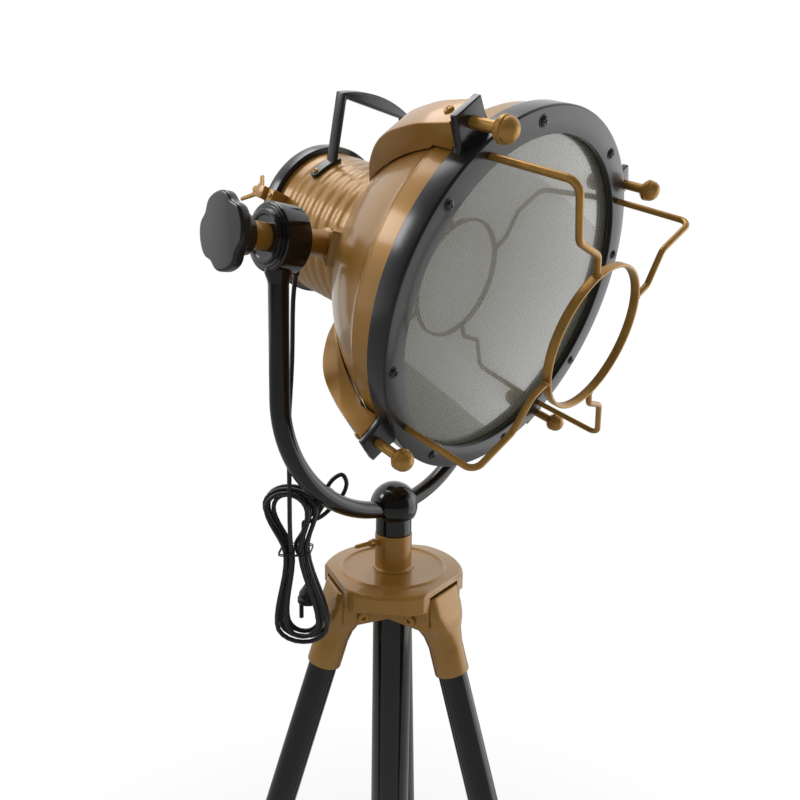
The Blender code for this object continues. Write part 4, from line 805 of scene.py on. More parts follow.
def cord_route():
    """The whole cord from the hub to the plug, in the part's frame."""
    straight = 2.2 * CORD_R
    loops = [hank_point(i / HANK_POINTS) for i in range(int(HANK_TURNS * HANK_POINTS) + 1)]
    first, last = loops[0], loops[-1]
    top = HANK_UP + HANK_RISE * HANK_PER_LAYER + 3 * CORD_R
    front, back = -1.05 * HANK_STEP, (HANK_LAYERS + 0.05) * HANK_STEP
    enter, leave = 0.036, 0.014
    lead_in = [(first.x, front, top - 2.5 * CORD_R), (first.x, front, enter + 0.012),
               (first.x, front, enter), (first.x, front * 0.8, enter * 0.66),
               (first.x, front * 0.25, enter * 0.28)]
    lead_out = [(last.x, last.y + (back - last.y) * 0.5, leave * 0.5), (last.x, back, leave)]
    to_pan = PAN.inverted() @ HANK
    start = to_pan @ Vector((first.x, front, top))
    exit_z, exit_y = LEVEL - CORD_EXIT_DROP, CORD_EXIT_Y
    ahead = -CORD_EXIT_IN + 2 * GAP + 0.003
    lead = [(ahead, exit_y, exit_z), (ahead + straight, exit_y, exit_z),
            (CORD_X + 0.0018, 0.0155, exit_z - 0.0080), (CORD_X + 0.0055, 0.0255, LEVEL - 0.055),
            (CORD_X + 0.0128, 0.0373, LEVEL - 0.115), (start.x + 0.0100, start.y + 0.0130, LEVEL - 0.175),
            (start.x, start.y, start.z + 0.022), (start.x, start.y, start.z + straight), start]
    lean = math.radians(SWITCH_LEAN)
    along = Vector((math.sin(lean), 0, math.cos(lean)))
    middle = Vector((0.021, 0.034, 0.046))
    half = SWITCH_SIZE[2] / 2 + GAP
    end = Vector((last.x, back, leave + 2.5 * CORD_R))
    loop = [end, end + Vector((0, 0, straight)), (0.013, 0.0230, 0.027), (0.024, 0.0265, 0.031),
            (0.033, 0.0310, 0.038), (0.042, 0.0345, 0.047), (0.048, 0.0360, 0.057),
            (0.0495, 0.0355, 0.067), (0.044, 0.0348, 0.0745), middle + along * (half + straight),
            middle + along * half]
    behind = HANK_LAYERS * HANK_STEP + 0.0002
    plug_top = Vector((0.010, 0.033, -0.036))
    tail = [middle - along * half, middle - along * (half + straight), (0.004, 0.027, 0.013),
            (-0.0015, behind, 0.004), (-0.0015, behind, -0.004), (0.003, 0.026, -0.015),
            plug_top + Vector((0, 0, straight)), plug_top]
    route = [PAN @ p for p in smooth_path(lead, 4)]
    hank = [Vector(p) for p in lead_in] + loops + [Vector(p) for p in lead_out]
    route += [HANK @ p for p in hank + smooth_path(loop, 4) + smooth_path(tail, 4)]
    return route, middle, plug_top


def cord():
    """The sheath with its strain relief, the switch, the plug and the string round the hank."""
    route, middle, plug_top = cord_route()
    curve = bpy.data.curves.new("mains_cord", "CURVE")
    curve.dimensions = "3D"
    curve.bevel_depth = CORD_R
    curve.bevel_resolution = 4
    curve.use_fill_caps = True
    spline = curve.splines.new("POLY")
    spline.points.add(len(route) - 1)
    for point, place in zip(spline.points, route):
        point.co = (*place, 1.0)
    curve.materials.append(PVC_SHEATH)
    flex = bpy.data.objects.new("mains_cord", curve)
    bpy.context.scene.collection.objects.link(flex)
    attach(flex, "yoke")
    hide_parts("cord_lead", "cord_hank", "cord_loop", "cord_tail")

    sleeve_in, sleeve = [], 0.0
    for before, after in zip(route, route[1:]):
        sleeve_in.append((before, sleeve))
        sleeve += (after - before).length
        if sleeve > RELIEF_LENGTH:
            break
    path = [PAN @ Vector((-HUB_IN, CORD_EXIT_Y, LEVEL - CORD_EXIT_DROP))] + [p for p, _ in sleeve_in]
    taper = GROMMET_R - CORD_R - 0.0005
    radii = [GROMMET_R] + [GROMMET_R - taper * s / RELIEF_LENGTH for _, s in sleeve_in]
    relief = drawn_out(path, radii, 24)
    show("strain_relief", relief, Matrix(), MOULDED_PVC, "yoke", "black_pvc", "cord_grommet")

    lean = spun_to(SWITCH_LEAN, "Y")
    case = eased(block(SWITCH_SIZE), 0.003, 4)
    rocker = eased(block((0.0075, 0.004, 0.013), shifted(y=-0.0066)), 0.0008, 2)
    line = block((0.0168, 0.0004, 0.035), shifted(y=0.0012))
    switch = show("inline_switch", joined(case, rocker, eased(line, 0.0001, 1)),
                  HANK @ Matrix.Translation(middle) @ lean, MOULDED_PVC, "yoke", "black_pvc", "cord_switch")

    grip = PLUG_R - 0.0016
    corners = [(0.0, 0.0), (CORD_R + 0.0012, 0.0, 0.0006), (CORD_R + 0.0022, -0.011, 0.004),
               (grip, 0.0105 - PLUG_BODY, 0.003), (grip, 0.007 - PLUG_BODY, 0.0006),
               (PLUG_R, 0.0052 - PLUG_BODY, 0.001), (PLUG_R, -PLUG_BODY, 0.001), (0.0, -PLUG_BODY)]
    plug_form = lathe(corners, 48)
    for sign in (-1, 1):
        pin = lathe([(0.0, 0.0), (0.0024, 0.0), (0.0024, -PLUG_PIN, 0.0012), (0.0, -PLUG_PIN)], 20)
        joined(plug_form, set_at(pin, shifted(sign * PLUG_R * 0.68, 0, -PLUG_BODY)))
    plug = show("mains_plug", plug_form, HANK @ Matrix.Translation(plug_top), MOULDED_PVC, "yoke",
                "black_pvc", "cord_plug")

    room = CORD_R + 0.0004
    half_x = HANK_WAIST + HANK_STEP * HANK_PER_LAYER + room + 0.0008 + TIE_WALL / 2
    near, far = -room - 0.0004 - TIE_WALL / 2, HANK_LAYERS * HANK_STEP + 0.0002 + room + TIE_WALL / 2
    strap = bmesh.new()
    for height, slope in ((-0.0009, 0.0006), (0.0009, -0.0007)):
        corners = [(-half_x, near, height), (half_x, near, height + slope), (half_x, far, height),
                   (-half_x, far, height - slope)]
        band = [Vector(c) for c in corners]
        middle_front = (band[3] + band[0]) / 2
        path = rounded_path([middle_front] + band + [middle_front], (0.004,) * 4, 6)
        joined(strap, drawn_out(path, TIE_WALL * 0.45, 10))
    tie = show("cord_tie_string", strap, HANK, MOULDED_PVC, "yoke", "black_pvc", "cord_tie")


# Tripod

def between_ears(reach, top, bottom, azimuth, draft=0.0):
    """The space between two legs' ears, out to a radius."""
    ear_face = SLOT_WIDTH / 2 + EAR_WALL + draft
    apex = ear_face / math.cos(math.radians(30))
    side = math.degrees(math.asin(ear_face / reach))
    outline = [(apex, 0.0)] + arc(reach, -(60 - side), 60 - side, 25)
    return set_at(slab(outline, top - bottom), spun_to(azimuth) @ shifted(z=(top + bottom) / 2))


def tripod_head():
    """The cast head: a flat top with a bead, three flats, a scalloped skirt and ears round each leg.

    Pockets beside the ears leave room for the pivot bolts' heads.
    """
    bore = MAST_R + GAP
    corners = [(bore, 0.0), (BEAD_R - 0.0030, 0.0, 0.0010), (BEAD_R - 0.0010, BEAD_H, 0.0010),
               (BEAD_R + 0.0010, BEAD_H, 0.0010), (BEAD_R + 0.0030, 0.0, 0.0010),
               (PLATE_R - 0.0030, -PLATE_DROP, 0.0030), (PLATE_R, -PLATE_DROP - 0.0030, 0.0022),
               (PLATE_R, -EAR_DEPTH), (COLUMN_R + GAP, -EAR_DEPTH), (COLUMN_R + GAP, -PLATE_LIP),
               (bore, -PLATE_LIP)]
    cutters = []
    for k in range(3):
        azimuth = LEG_AZIMUTH + 120 * k
        side = spun_to(azimuth)
        cutters.append(block((0.04, 0.12, 0.12), side @ shifted(PLATE_FLAT + 0.02)))
        depth, reach = EAR_DEPTH + 0.01 - PLATE_LIP, PLATE_R - SLOT_INNER + 0.01
        cutters.append(block((reach, SLOT_WIDTH, depth),
                             side @ shifted(SLOT_INNER + reach / 2, 0, -PLATE_LIP - depth / 2)))
        middle = azimuth + 60
        cutters.append(between_ears(PLATE_R - SKIRT_WALL, -PLATE_LIP, -EAR_DEPTH - 0.012, middle, GAP))
        cutters.append(between_ears(PLATE_R + 0.01, -SKIRT_DEPTH, -EAR_DEPTH - 0.01, middle))
        for turn in (-60, 60):
            bolt_way = TRIPOD.inverted() @ LEGS[(k + (turn > 0)) % 3]
            sign = -1 if turn > 0 else 1
            ear_side = SLOT_WIDTH / 2 + EAR_WALL
            pocket = bar(BOLT_HEAD_R + BOLT_POCKET, (0, sign * (ear_side + 0.0002), 0),
                         (0, sign * (ear_side + BOLT_POCKET_DEEP), 0), 48)
            cutters.append(set_at(pocket, bolt_way))
        arch_r = 0.110
        arch = bar(arch_r, (PLATE_R - 0.02, 0, 0), (PLATE_R + 0.02, 0, 0), 160)
        cutters.append(set_at(arch, shifted(z=-SKIRT_DEPTH - arch_r + SKIRT_ARCH) @ spun_to(middle)))
    casting = carved(lathe(corners, 120, closed=True), *cutters)
    head = show("tripod_head", casting, TRIPOD, BRONZE_CASTING, "base", "bronze_casting", "tripod_plate")
    edges = head.modifiers.new("cast_edges", "BEVEL")
    edges.width = 0.0006
    edges.segments = 2
    edges.limit_method = "ANGLE"
    edges.angle_limit = math.radians(50)


def stem():
    """The collar on the head, the column under it, and the mast that slides in both."""
    weld = 0.0026
    bore = MAST_R + GAP
    corners = [(bore, COLLAR_H), (COLLAR_R, COLLAR_H, 0.0006), (COLLAR_R, weld, 0.0006),
               (COLLAR_R + weld * 0.9, weld * 0.45, 0.0009), (COLLAR_R + weld, GAP), (bore, GAP)]
    show("stem_collar_tube", lathe(corners, 72, closed=True), TRIPOD, BRONZE_LACQUER, "base",
         "bronze_steel", "stem_collar")

    top = -PLATE_LIP - GAP
    bottom = top - COLUMN_LENGTH
    inner = COLUMN_R - 0.002
    corners = [(0.0, bottom + 0.003), (inner, bottom + 0.003), (inner, top), (COLUMN_R, top, 0.0006),
               (COLUMN_R, bottom, 0.0022), (0.0, bottom)]
    show("column_tube", lathe(corners, 72), TRIPOD, BLACK_ENAMEL, "base", "black_steel", "centre_column")

    top = COLLAR_H + NECK_DROP - 0.0055
    corners = [(MAST_R - MAST_WALL, top), (MAST_R, top), (MAST_R, top - MAST_LENGTH),
               (MAST_R - MAST_WALL, top - MAST_LENGTH)]
    show("sliding_mast", lathe(corners, 64, closed=True), TRIPOD, PLATED_STEEL, "mast",
         "plated_steel", "mast_tube")


def wing_screw():
    """A thumb screw with one thick leaf, as a cast wing has."""
    lens_r = (WING_LONG ** 2 + WING_WIDE ** 2) / (2 * WING_WIDE)
    half = math.degrees(math.asin(WING_LONG / lens_r))
    right = arc(lens_r, -half, half, 25, (WING_WIDE - lens_r, 0))
    left = arc(lens_r, 180 - half, 180 + half, 25, (lens_r - WING_WIDE, 0))
    leaf = eased(slab(right[:-1] + left[:-1], WING_THICK), 0.0013, 4, 60)
    set_at(leaf, shifted(WING_REACH) @ spun_to(WING_ROLL, "X") @ spun_to(WING_SPIN))
    neck = [(0.0, 0.0), (SCREW_R, 0.0), (SCREW_R, 0.0075), (SCREW_R + 0.0020, 0.0095, 0.001),
            (0.0034, 0.0165), (0.0, 0.0175)]
    shank = set_at(lathe(neck, 32), shifted(MAST_R + GAP) @ spun_to(90, "Y"))
    show("thumb_screw", joined(leaf, shank), SCREW, BRONZE_BRIGHT, "wing_screw", "bronze_steel", "wing_screw")


def section(half_x, half_y, power, centre_x, z, count=48):
    """A superellipse: power 2 is an ellipse, higher powers come near a box."""
    ring = []
    for i in range(count):
        angle = math.tau * (i + 0.5) / count
        c, s = math.cos(angle), math.sin(angle)
        ring.append((centre_x + math.copysign(abs(c) ** (2 / power), c) * half_x,
                     math.copysign(abs(s) ** (2 / power), s) * half_y, z))
    return ring


def leg(k):
    """One leg: the cast socket between the ears, its tube and rubber foot, and the bolt it swings on."""
    body = f"leg_{k + 1}"
    wide = SLOT_WIDTH / 2 - 0.0004
    stations = [(-0.002, SOCKET_BLOCK, wide, 6.0, 0.010),
                (-0.014, SOCKET_BLOCK - 0.0003, wide - 0.0022, 4.2, LEG_OFFSET),
                (-0.026, SOCKET_R + 0.0002, wide - 0.0070, 2.6, LEG_OFFSET),
                (-0.040, SOCKET_R, SOCKET_R, 2.0, LEG_OFFSET), (-0.050, SOCKET_R, SOCKET_R, 2.0, LEG_OFFSET)]
    sections = []
    for step in range(5):
        lift = math.radians(90 * step / 4)
        inset = 0.0022 * (1 - math.sin(lift))
        sections.append(section(SOCKET_BLOCK - inset, wide - inset, 6.0, 0.010,
                                SOCKET_TOP - 0.0022 * (1 - math.cos(lift))))
    for (z1, *upper), (z2, *lower) in zip(stations, stations[1:]):
        for step in range(4):
            t = step / 4
            mix = [a + (b - a) * t for a, b in zip(upper, lower)]
            sections.append(section(*mix, z1 + (z2 - z1) * t))
    bore = LEG_TUBE_R + GAP
    sections += [section(SOCKET_R, SOCKET_R, 2, LEG_OFFSET, -SOCKET_LENGTH + 0.0012),
                 section(SOCKET_R - 0.0004, SOCKET_R - 0.0004, 2, LEG_OFFSET, -SOCKET_LENGTH + 0.0003),
                 section(SOCKET_R - 0.0011, SOCKET_R - 0.0011, 2, LEG_OFFSET, -SOCKET_LENGTH),
                 section(bore, bore, 2, LEG_OFFSET, -SOCKET_LENGTH),
                 section(bore, bore, 2, LEG_OFFSET, -SOCKET_SEAT)]
    show(f"leg_socket_casting_{k + 1}", lofted(sections), LEGS[k], BRONZE_CASTING, body, "bronze_casting",
         f"leg_socket_{k + 1}")

    drop = PLATE_TOP - LEG_PIVOT_DROP + LEG_OFFSET * math.sin(math.radians(SPLAY))
    length = drop / math.cos(math.radians(SPLAY))
    corners = [(0.0, -SOCKET_SEAT - GAP), (LEG_TUBE_R, -SOCKET_SEAT - GAP),
               (LEG_TUBE_R, FOOT_SOLE + GAP - length), (0.0, FOOT_SOLE + GAP - length)]
    offset = LEGS[k] @ shifted(LEG_OFFSET)
    show(f"leg_tube_painted_{k + 1}", lathe(corners, 64), offset, BLACK_ENAMEL, body, "black_steel",
         f"leg_tube_{k + 1}")

    spread = FOOT_R * math.tan(math.radians(SPLAY)) + 0.002
    corners = [(0.0, FOOT_SOLE - length), (bore, FOOT_SOLE - length), (bore, FOOT_LENGTH - length),
               (FOOT_R - 0.0006, FOOT_LENGTH - length, 0.0010), (FOOT_R - 0.0006, 0.024 - length, 0.0004),
               (FOOT_R, 0.0225 - length, 0.0006), (FOOT_R, -spread - length), (0.0, -spread - length)]
    foot = set_at(lathe(corners, 64), offset)
    bmesh.ops.bisect_plane(foot, geom=foot.verts[:] + foot.edges[:] + foot.faces[:], plane_co=(0, 0, 0),
                           plane_no=(0, 0, 1), clear_inner=True)
    show(f"rubber_foot_{k + 1}", sealed(foot), Matrix(), MOULDED_RUBBER, body, "black_rubber",
         f"leg_foot_{k + 1}")

    end = SLOT_WIDTH / 2 + EAR_WALL + GAP
    bolt = bar(BOLT_SHANK_R, (0, -end, 0), (0, end, 0), 32)
    for sign in (-1, 1):
        socket = bmesh.new()
        bmesh.ops.create_cone(socket, cap_ends=True, segments=6, radius1=0.0028, radius2=0.0028, depth=0.0036,
                              matrix=shifted(z=BOLT_HEAD_H))
        corners = [(0.0, BOLT_HEAD_H), (BOLT_HEAD_R, BOLT_HEAD_H, 0.0012), (BOLT_HEAD_R, 0.0, 0.0003),
                   (0.0, 0.0)]
        head = carved(lathe(corners, 40), socket)
        joined(bolt, set_at(head, shifted(y=sign * end) @ spun_to(-90 * sign, "X")))
    place = TRIPOD @ Matrix.Translation(polar(LEG_PIVOT_R, LEG_AZIMUTH + 120 * k, -LEG_PIVOT_DROP))
    show(f"leg_bolt_{k + 1}", bolt, place @ spun_to(LEG_AZIMUTH + 120 * k), BRONZE_BRIGHT, "base",
         "bronze_steel", f"pivot_bolt_{k + 1}")


# Yoke

def yoke():
    """The ball hub with its neck, the two bent tubes, and the turned hub at the end of each."""
    middle = NECK_DROP + BALL_LIFT
    rim = math.sqrt(BALL_R ** 2 - BALL_CUT ** 2)
    ball = [(BALL_R * math.cos(a), middle + BALL_R * math.sin(a))
            for a in (math.radians(90 - 5 * i) for i in range(30))]
    ball = [(0.0, middle + BALL_R)] + [p for p in ball[1:] if p[1] > middle - BALL_CUT + 0.001]
    bore = MAST_R + GAP
    corners = ball + [(rim, middle - BALL_CUT, 0.0008), (NECK_R, middle - BALL_CUT - 0.0012, 0.0008),
                      (NECK_R, 0.0012), (NECK_R - 0.0006, GAP), (bore, GAP),
                      (bore, NECK_DROP - 0.005), (0.0, NECK_DROP - 0.005)]
    show("yoke_ball", lathe(corners, 96), PAN, BLACK_ENAMEL, "yoke", "black_casting", "yoke_hub")

    centre = LEVEL - YOKE_STRAIGHT
    for side, hand in ((-1, "left"), (1, "right")):
        top = LEVEL - HUB_R + 0.006
        flare = [(0.0, 0.0032), (0.006, 0.0030), (0.009, 0.0018), (0.012, 0.0006), (0.016, 0.0)]
        path = [Vector((side * YOKE_HALF, 0, top - d)) for d, _ in flare]
        radii = [YOKE_TUBE_R + more for _, more in flare]
        for i in range(41):
            angle = math.radians(90 * i / 40)
            path.append(Vector((side * YOKE_HALF * math.cos(angle), 0,
                                centre - YOKE_DEPTH * math.sin(angle))))
        path = [p for p in path if abs(p.x) > BALL_R * 0.75]
        radii += [YOKE_TUBE_R] * (len(path) - len(radii))
        show(f"yoke_tube_{hand}", drawn_out(path, radii, 32), PAN, BLACK_ENAMEL, "yoke", "black_steel",
             f"yoke_arm_{hand}")
        bore = SHAFT_R + GAP
        corners = [(bore, HUB_OUT + 0.0024), (0.0182, HUB_OUT + 0.0024, 0.0006),
                   (0.0192, HUB_OUT + HUB_STEP_H, 0.0008), (HUB_STEP_R, HUB_OUT + HUB_STEP_H, 0.0013),
                   (HUB_STEP_R, HUB_OUT + 0.0014, 0.0005), (HUB_STEP_R + 0.0028, HUB_OUT + 0.0014, 0.0006),
                   (HUB_STEP_R + 0.0028, HUB_OUT, 0.0003), (HUB_R, HUB_OUT, 0.0024), (HUB_R, HUB_IN, 0.0014),
                   (bore, HUB_IN)]
        place = PAN @ shifted(z=LEVEL) @ spun_to(90 * side, "Y")
        show(f"pivot_boss_{hand}", lathe(corners, 96, closed=True), place, BLACK_ENAMEL, "yoke",
             "black_casting", f"pivot_hub_{hand}")


# Head shells

def dome_line(count=28):
    """The dome's outer line from the seam back to the drum, as (radius, z)."""
    start, end = Vector((SEAM_R, SEAM)), Vector((DOME_END_R, DOME_END))
    chord = end - start
    bulge = Vector((-chord.y, chord.x)).normalized()
    bulge = bulge if bulge.x > 0 else -bulge
    line = []
    for i in range(count + 1):
        t = i / count
        point = start + chord * t + bulge * (4 * t * (1 - t) * DOME_BULGE)
        line.append((point.x, point.y))
    return line


def dome_radius(z):
    """Outer radius of the dome, its band or the drum at a distance along the beam."""
    line = [(BAND_R, BAND_FRONT)] + dome_line()
    for (r1, z1), (r2, z2) in zip(line, line[1:]):
        if z2 <= z <= z1:
            return r2 + (r1 - r2) * (z - z2) / (z1 - z2)
    return DRUM_R


def dome():
    """The spun dome with its flat band, the rolled seam and the short neck over the drum."""
    line = dome_line()
    outer = [(BAND_R, BAND_FRONT), (BAND_R - 0.0004, SEAM + 0.0052, 0.0010), (SEAM_R + 0.0012, SEAM + 0.0040),
             (SEAM_R + SEAM_BEAD, SEAM + 0.0026), (SEAM_R + SEAM_BEAD, SEAM + 0.0012),
             (SEAM_R + 0.0002, SEAM + 0.0002)]
    outer += line[1:] + [(DOME_END_R, DOME_REAR, 0.0005)]
    inner = [(DOME_END_R - SHELL, DOME_REAR)] + [(r - SHELL, z) for r, z in reversed(line[1:])]
    inner += [(SEAM_R - SHELL, SEAM + 0.002), (BAND_R - SHELL, BAND_FRONT)]
    show("dome_shell", lathe(outer + inner, 144, closed=True), HEAD, BRONZE_LACQUER, "head",
         "bronze_steel", "lamp_dome")


def drum():
    """The spun drum with its six soft ribs."""
    ribs_end = RIB_FIRST + RIB_PITCH * RIB_COUNT
    line = [(DRUM_R, DRUM_FRONT), (DRUM_R, ribs_end + 0.003)]
    steps = 12
    for i in range(steps * RIB_COUNT + 1):
        t = i / steps
        line.append((DRUM_R - RIB_HEIGHT * (0.5 + 0.5 * math.cos(math.tau * t)) ** 1.2,
                     ribs_end - RIB_PITCH * t))
    line += [(DRUM_R, RIB_FIRST - 0.0045), (DRUM_R, DRUM_REAR)]
    inside = DRUM_R - RIB_HEIGHT - SHELL
    line += [(inside, DRUM_REAR), (inside, DRUM_FRONT)]
    show("drum_shell", lathe(line, 128, closed=True), HEAD, BRONZE_LACQUER, "head", "bronze_steel",
         "lamp_drum")


def bezel():
    """The front ring with a deep side wall, four lugs for the clamp bolts and eight screws."""
    inner = BEZEL_R - BEZEL_WALL
    corners = [(BEZEL_OPENING, FACE, 0.0009), (BEZEL_R, FACE, 0.0020), (BEZEL_R, BEZEL_REAR, 0.0010),
               (inner, BEZEL_REAR, 0.0006), (inner, FACE - BEZEL_PLATE), (BEZEL_OPENING, FACE - BEZEL_PLATE)]
    ring = lathe(corners, 160, closed=True)
    base = BEZEL_R - BEZEL_WALL * 0.8
    half = [(LUG_BASE_HALF, base), (LUG_BASE_HALF - 0.0012, base + 0.0022),
            (LUG_BASE_HALF - 0.0026, base + 0.0050), (LUG_TOP_HALF + 0.0018, base + 0.0100),
            (LUG_TOP_HALF + 0.0008, base + 0.0160), (LUG_TOP_HALF, LUG_TOP)]
    outline = half + [(-x, y) for x, y in reversed(half)]
    for k in range(4):
        lug = eased(slab(outline, LUG_FRONT - LUG_BACK), 0.0009, 3, 55)
        hole = bar(CLAMP_SHANK_R + GAP, (0, CLAMP_R, -0.02), (0, CLAMP_R, 0.02), 32)
        lug = set_at(carved(lug, hole), shifted(z=(LUG_FRONT + LUG_BACK) / 2))
        joined(ring, set_at(lug, spun_to(45 + 90 * k)))
    show("front_ring", ring, HEAD, BLACK_SATIN, "head", "black_steel", "bezel_ring")

    screws = bmesh.new()
    for ang in (22.5, 67.5, 112.5, 157.5, 202.5, 247.5, 294.0, 342.0):
        place = spun_to(45 + 90 - ang) @ shifted(BEZEL_SCREW_R, 0, FACE)
        washer = lathe([(0.0, 0.0006), (0.0052, 0.0006, 0.0003), (0.0052, -0.0005), (0.0, -0.0005)], 32)
        joined(screws, set_at(washer, place), set_at(round_head(0.0041, 0.0026, 0.0012), place))
    show("ring_screws", screws, HEAD, BLACKENED_STEEL, "head", "black_steel")


def lens():
    """The pane, with a map of its face for the prisms, and the rubber that seals it."""
    corners = [(0.0, LENS_FRONT), (LENS_R, LENS_FRONT, 0.0006), (LENS_R, LENS_BACK, 0.0004), (0.0, LENS_BACK)]
    pane = lathe(corners, 128)
    face_map = pane.loops.layers.uv.new("across_the_pane")
    for face in pane.faces:
        for corner in face.loops:
            corner[face_map].uv = corner.vert.co.xy
    show("prismatic_lens", pane, HEAD, LENS_GLASS, "head", "lens_glass", "lens")
    top, bottom = FACE - BEZEL_PLATE - GAP, LENS_FRONT + GAP
    corners = [(BEZEL_OPENING + 0.0004, top, 0.0008), (LENS_R, top), (LENS_R, bottom),
               (BEZEL_OPENING + 0.0004, bottom, 0.0008)]
    show("lens_seal", lathe(corners, 128, closed=True), HEAD, SEALING_RUBBER, "head", "black_rubber",
         "lens_gasket")


def cowl(k):
    """A folded cover behind each lug: a raised flat with its bolt, and a curved sheet down the dome."""
    back = LUG_BACK - GAP
    crease = COWL_HEAD_R - COWL_FALL
    tip = (COWL_TIP, dome_radius(COWL_TIP) + COWL_SKIN)
    knots = [(back, COWL_HEAD_R), (COWL_STEP, crease), *COWL_SWEEP, tip]
    curved = [(p.x, p.y) for p in smooth_path([(z, r, 0) for z, r in knots], 6)]
    under = [(z, dome_radius(z) + COWL_SKIN) for z in
             (COWL_TIP + (SEAM - COWL_TIP) * i / 10 for i in range(1, 11))]
    over_band = [(SEAM + 0.004, BAND_R + 0.0012), (BEZEL_REAR - 0.0008, BAND_R + 0.0012),
                 (BEZEL_REAR - 0.0008, BEZEL_R + GAP), (back, BEZEL_R + GAP)]
    sheet = eased(slab(curved + under + over_band, COWL_WIDTH), 0.0010, 3, 50)
    upright = Matrix(((0, 0, 1, 0), (0, 1, 0, 0), (1, 0, 0, 0), (0, 0, 0, 1)))
    cover = set_at(sheet, upright)
    bmesh.ops.recalc_face_normals(cover, faces=cover.faces)
    place = HEAD @ spun_to(45 + 90 * k)
    show(f"clamp_cowl_{k + 1}", cover, place, BRONZE_LACQUER, "head", "bronze_steel", f"cowl_{k + 1}")
    slope = math.atan2(COWL_FALL, back - COWL_STEP)
    bolt_r = COWL_HEAD_R - (back - COWL_BOLT_Z) * math.tan(slope)
    seat = place @ shifted(0, bolt_r, COWL_BOLT_Z) @ spun_to(-90 - math.degrees(slope), "X")
    show(f"cowl_bolt_{k + 1}", round_head(0.0040, 0.0028, 0.0010), seat, BRONZE_BRIGHT, "head",
         "bronze_steel")


def clamp_knob(k):
    """A bolt with a ball grip: a dome, a groove, a knurled band and a cone down to the shank."""
    r, s = CLAMP_BALL_R, CLAMP_SHANK_R
    cap = [(r * 0.97 * math.cos(a), r * (0.12 + 0.88 * math.sin(a)))
           for a in (math.radians(90 - 9 * i) for i in range(11))]
    cap[0] = (0.0, r)
    tail = CLAMP_TAIL - CLAMP_BALL_Z
    corners = cap + [(r * 0.90, r * 0.06), (r * 0.985, -r * 0.02), (r * 0.985, -r * 0.36),
                     (r * 0.90, -r * 0.50), (r * 0.72, -r * 0.70), (s, -r * 0.80), (s, tail + 0.001),
                     (s - 0.001, tail), (0.0, tail)]
    knob = lathe(corners, 60)
    band = [f for f in knob.faces if -r * 0.35 < f.calc_center_median().z < -r * 0.03]
    bmesh.ops.inset_individual(knob, faces=band, thickness=0.00018, depth=0.00022)
    place = HEAD @ Matrix.Translation(polar(CLAMP_R, 135 + 90 * k, CLAMP_BALL_Z))
    show(f"ball_knob_{k + 1}", knob, place, BRONZE_BRIGHT, f"clamp_knob_{k + 1}", "bronze_steel",
         f"clamp_knob_{k + 1}", crease=24.0)


def guard():
    """Four bent wires brazed to a flat ring."""
    level = FACE + GUARD_OUT
    half_w, half_t = GUARD_RING_W / 2, GUARD_RING_T / 2
    centre = level + GUARD_LIFT
    inner, outer = GUARD_RING_R - half_t, GUARD_RING_R + half_t
    corners = [(inner, centre + half_w, 0.0011), (outer, centre + half_w, 0.0011),
               (outer, centre - half_w, 0.0011), (inner, centre - half_w, 0.0011)]
    frame_wires = lathe(corners, 128, closed=True)
    for k in range(4):
        up = 135 - 90 * k
        corners = [polar(GUARD_FOOT_R, up, FACE - 0.001), polar(GUARD_FOOT_R - 0.001, up, level),
                   polar(GUARD_JOG_R, up - GUARD_LEAN, level),
                   polar(GUARD_JOG_IN, up - GUARD_TWIST + 1, centre),
                   polar(GUARD_RING_R, up - GUARD_TWIST, centre)]
        wire = drawn_out(rounded_path(corners, (0.010, 0.012, 0.009), 14), WIRE_R, 24)
        braze = bmesh.new()
        seat = Matrix.Translation(polar(GUARD_RING_R + 0.0022, up - GUARD_TWIST, centre))
        lump = seat @ spun_to(up - GUARD_TWIST) @ Matrix.Diagonal((0.0022, 0.0040, 0.0038, 1))
        bmesh.ops.create_uvsphere(braze, u_segments=20, v_segments=12, radius=1.0, matrix=lump)
        joined(frame_wires, wire, braze)
    show("wire_guard", frame_wires, HEAD, BRONZE_BRIGHT, "head", "bronze_steel", "guard")


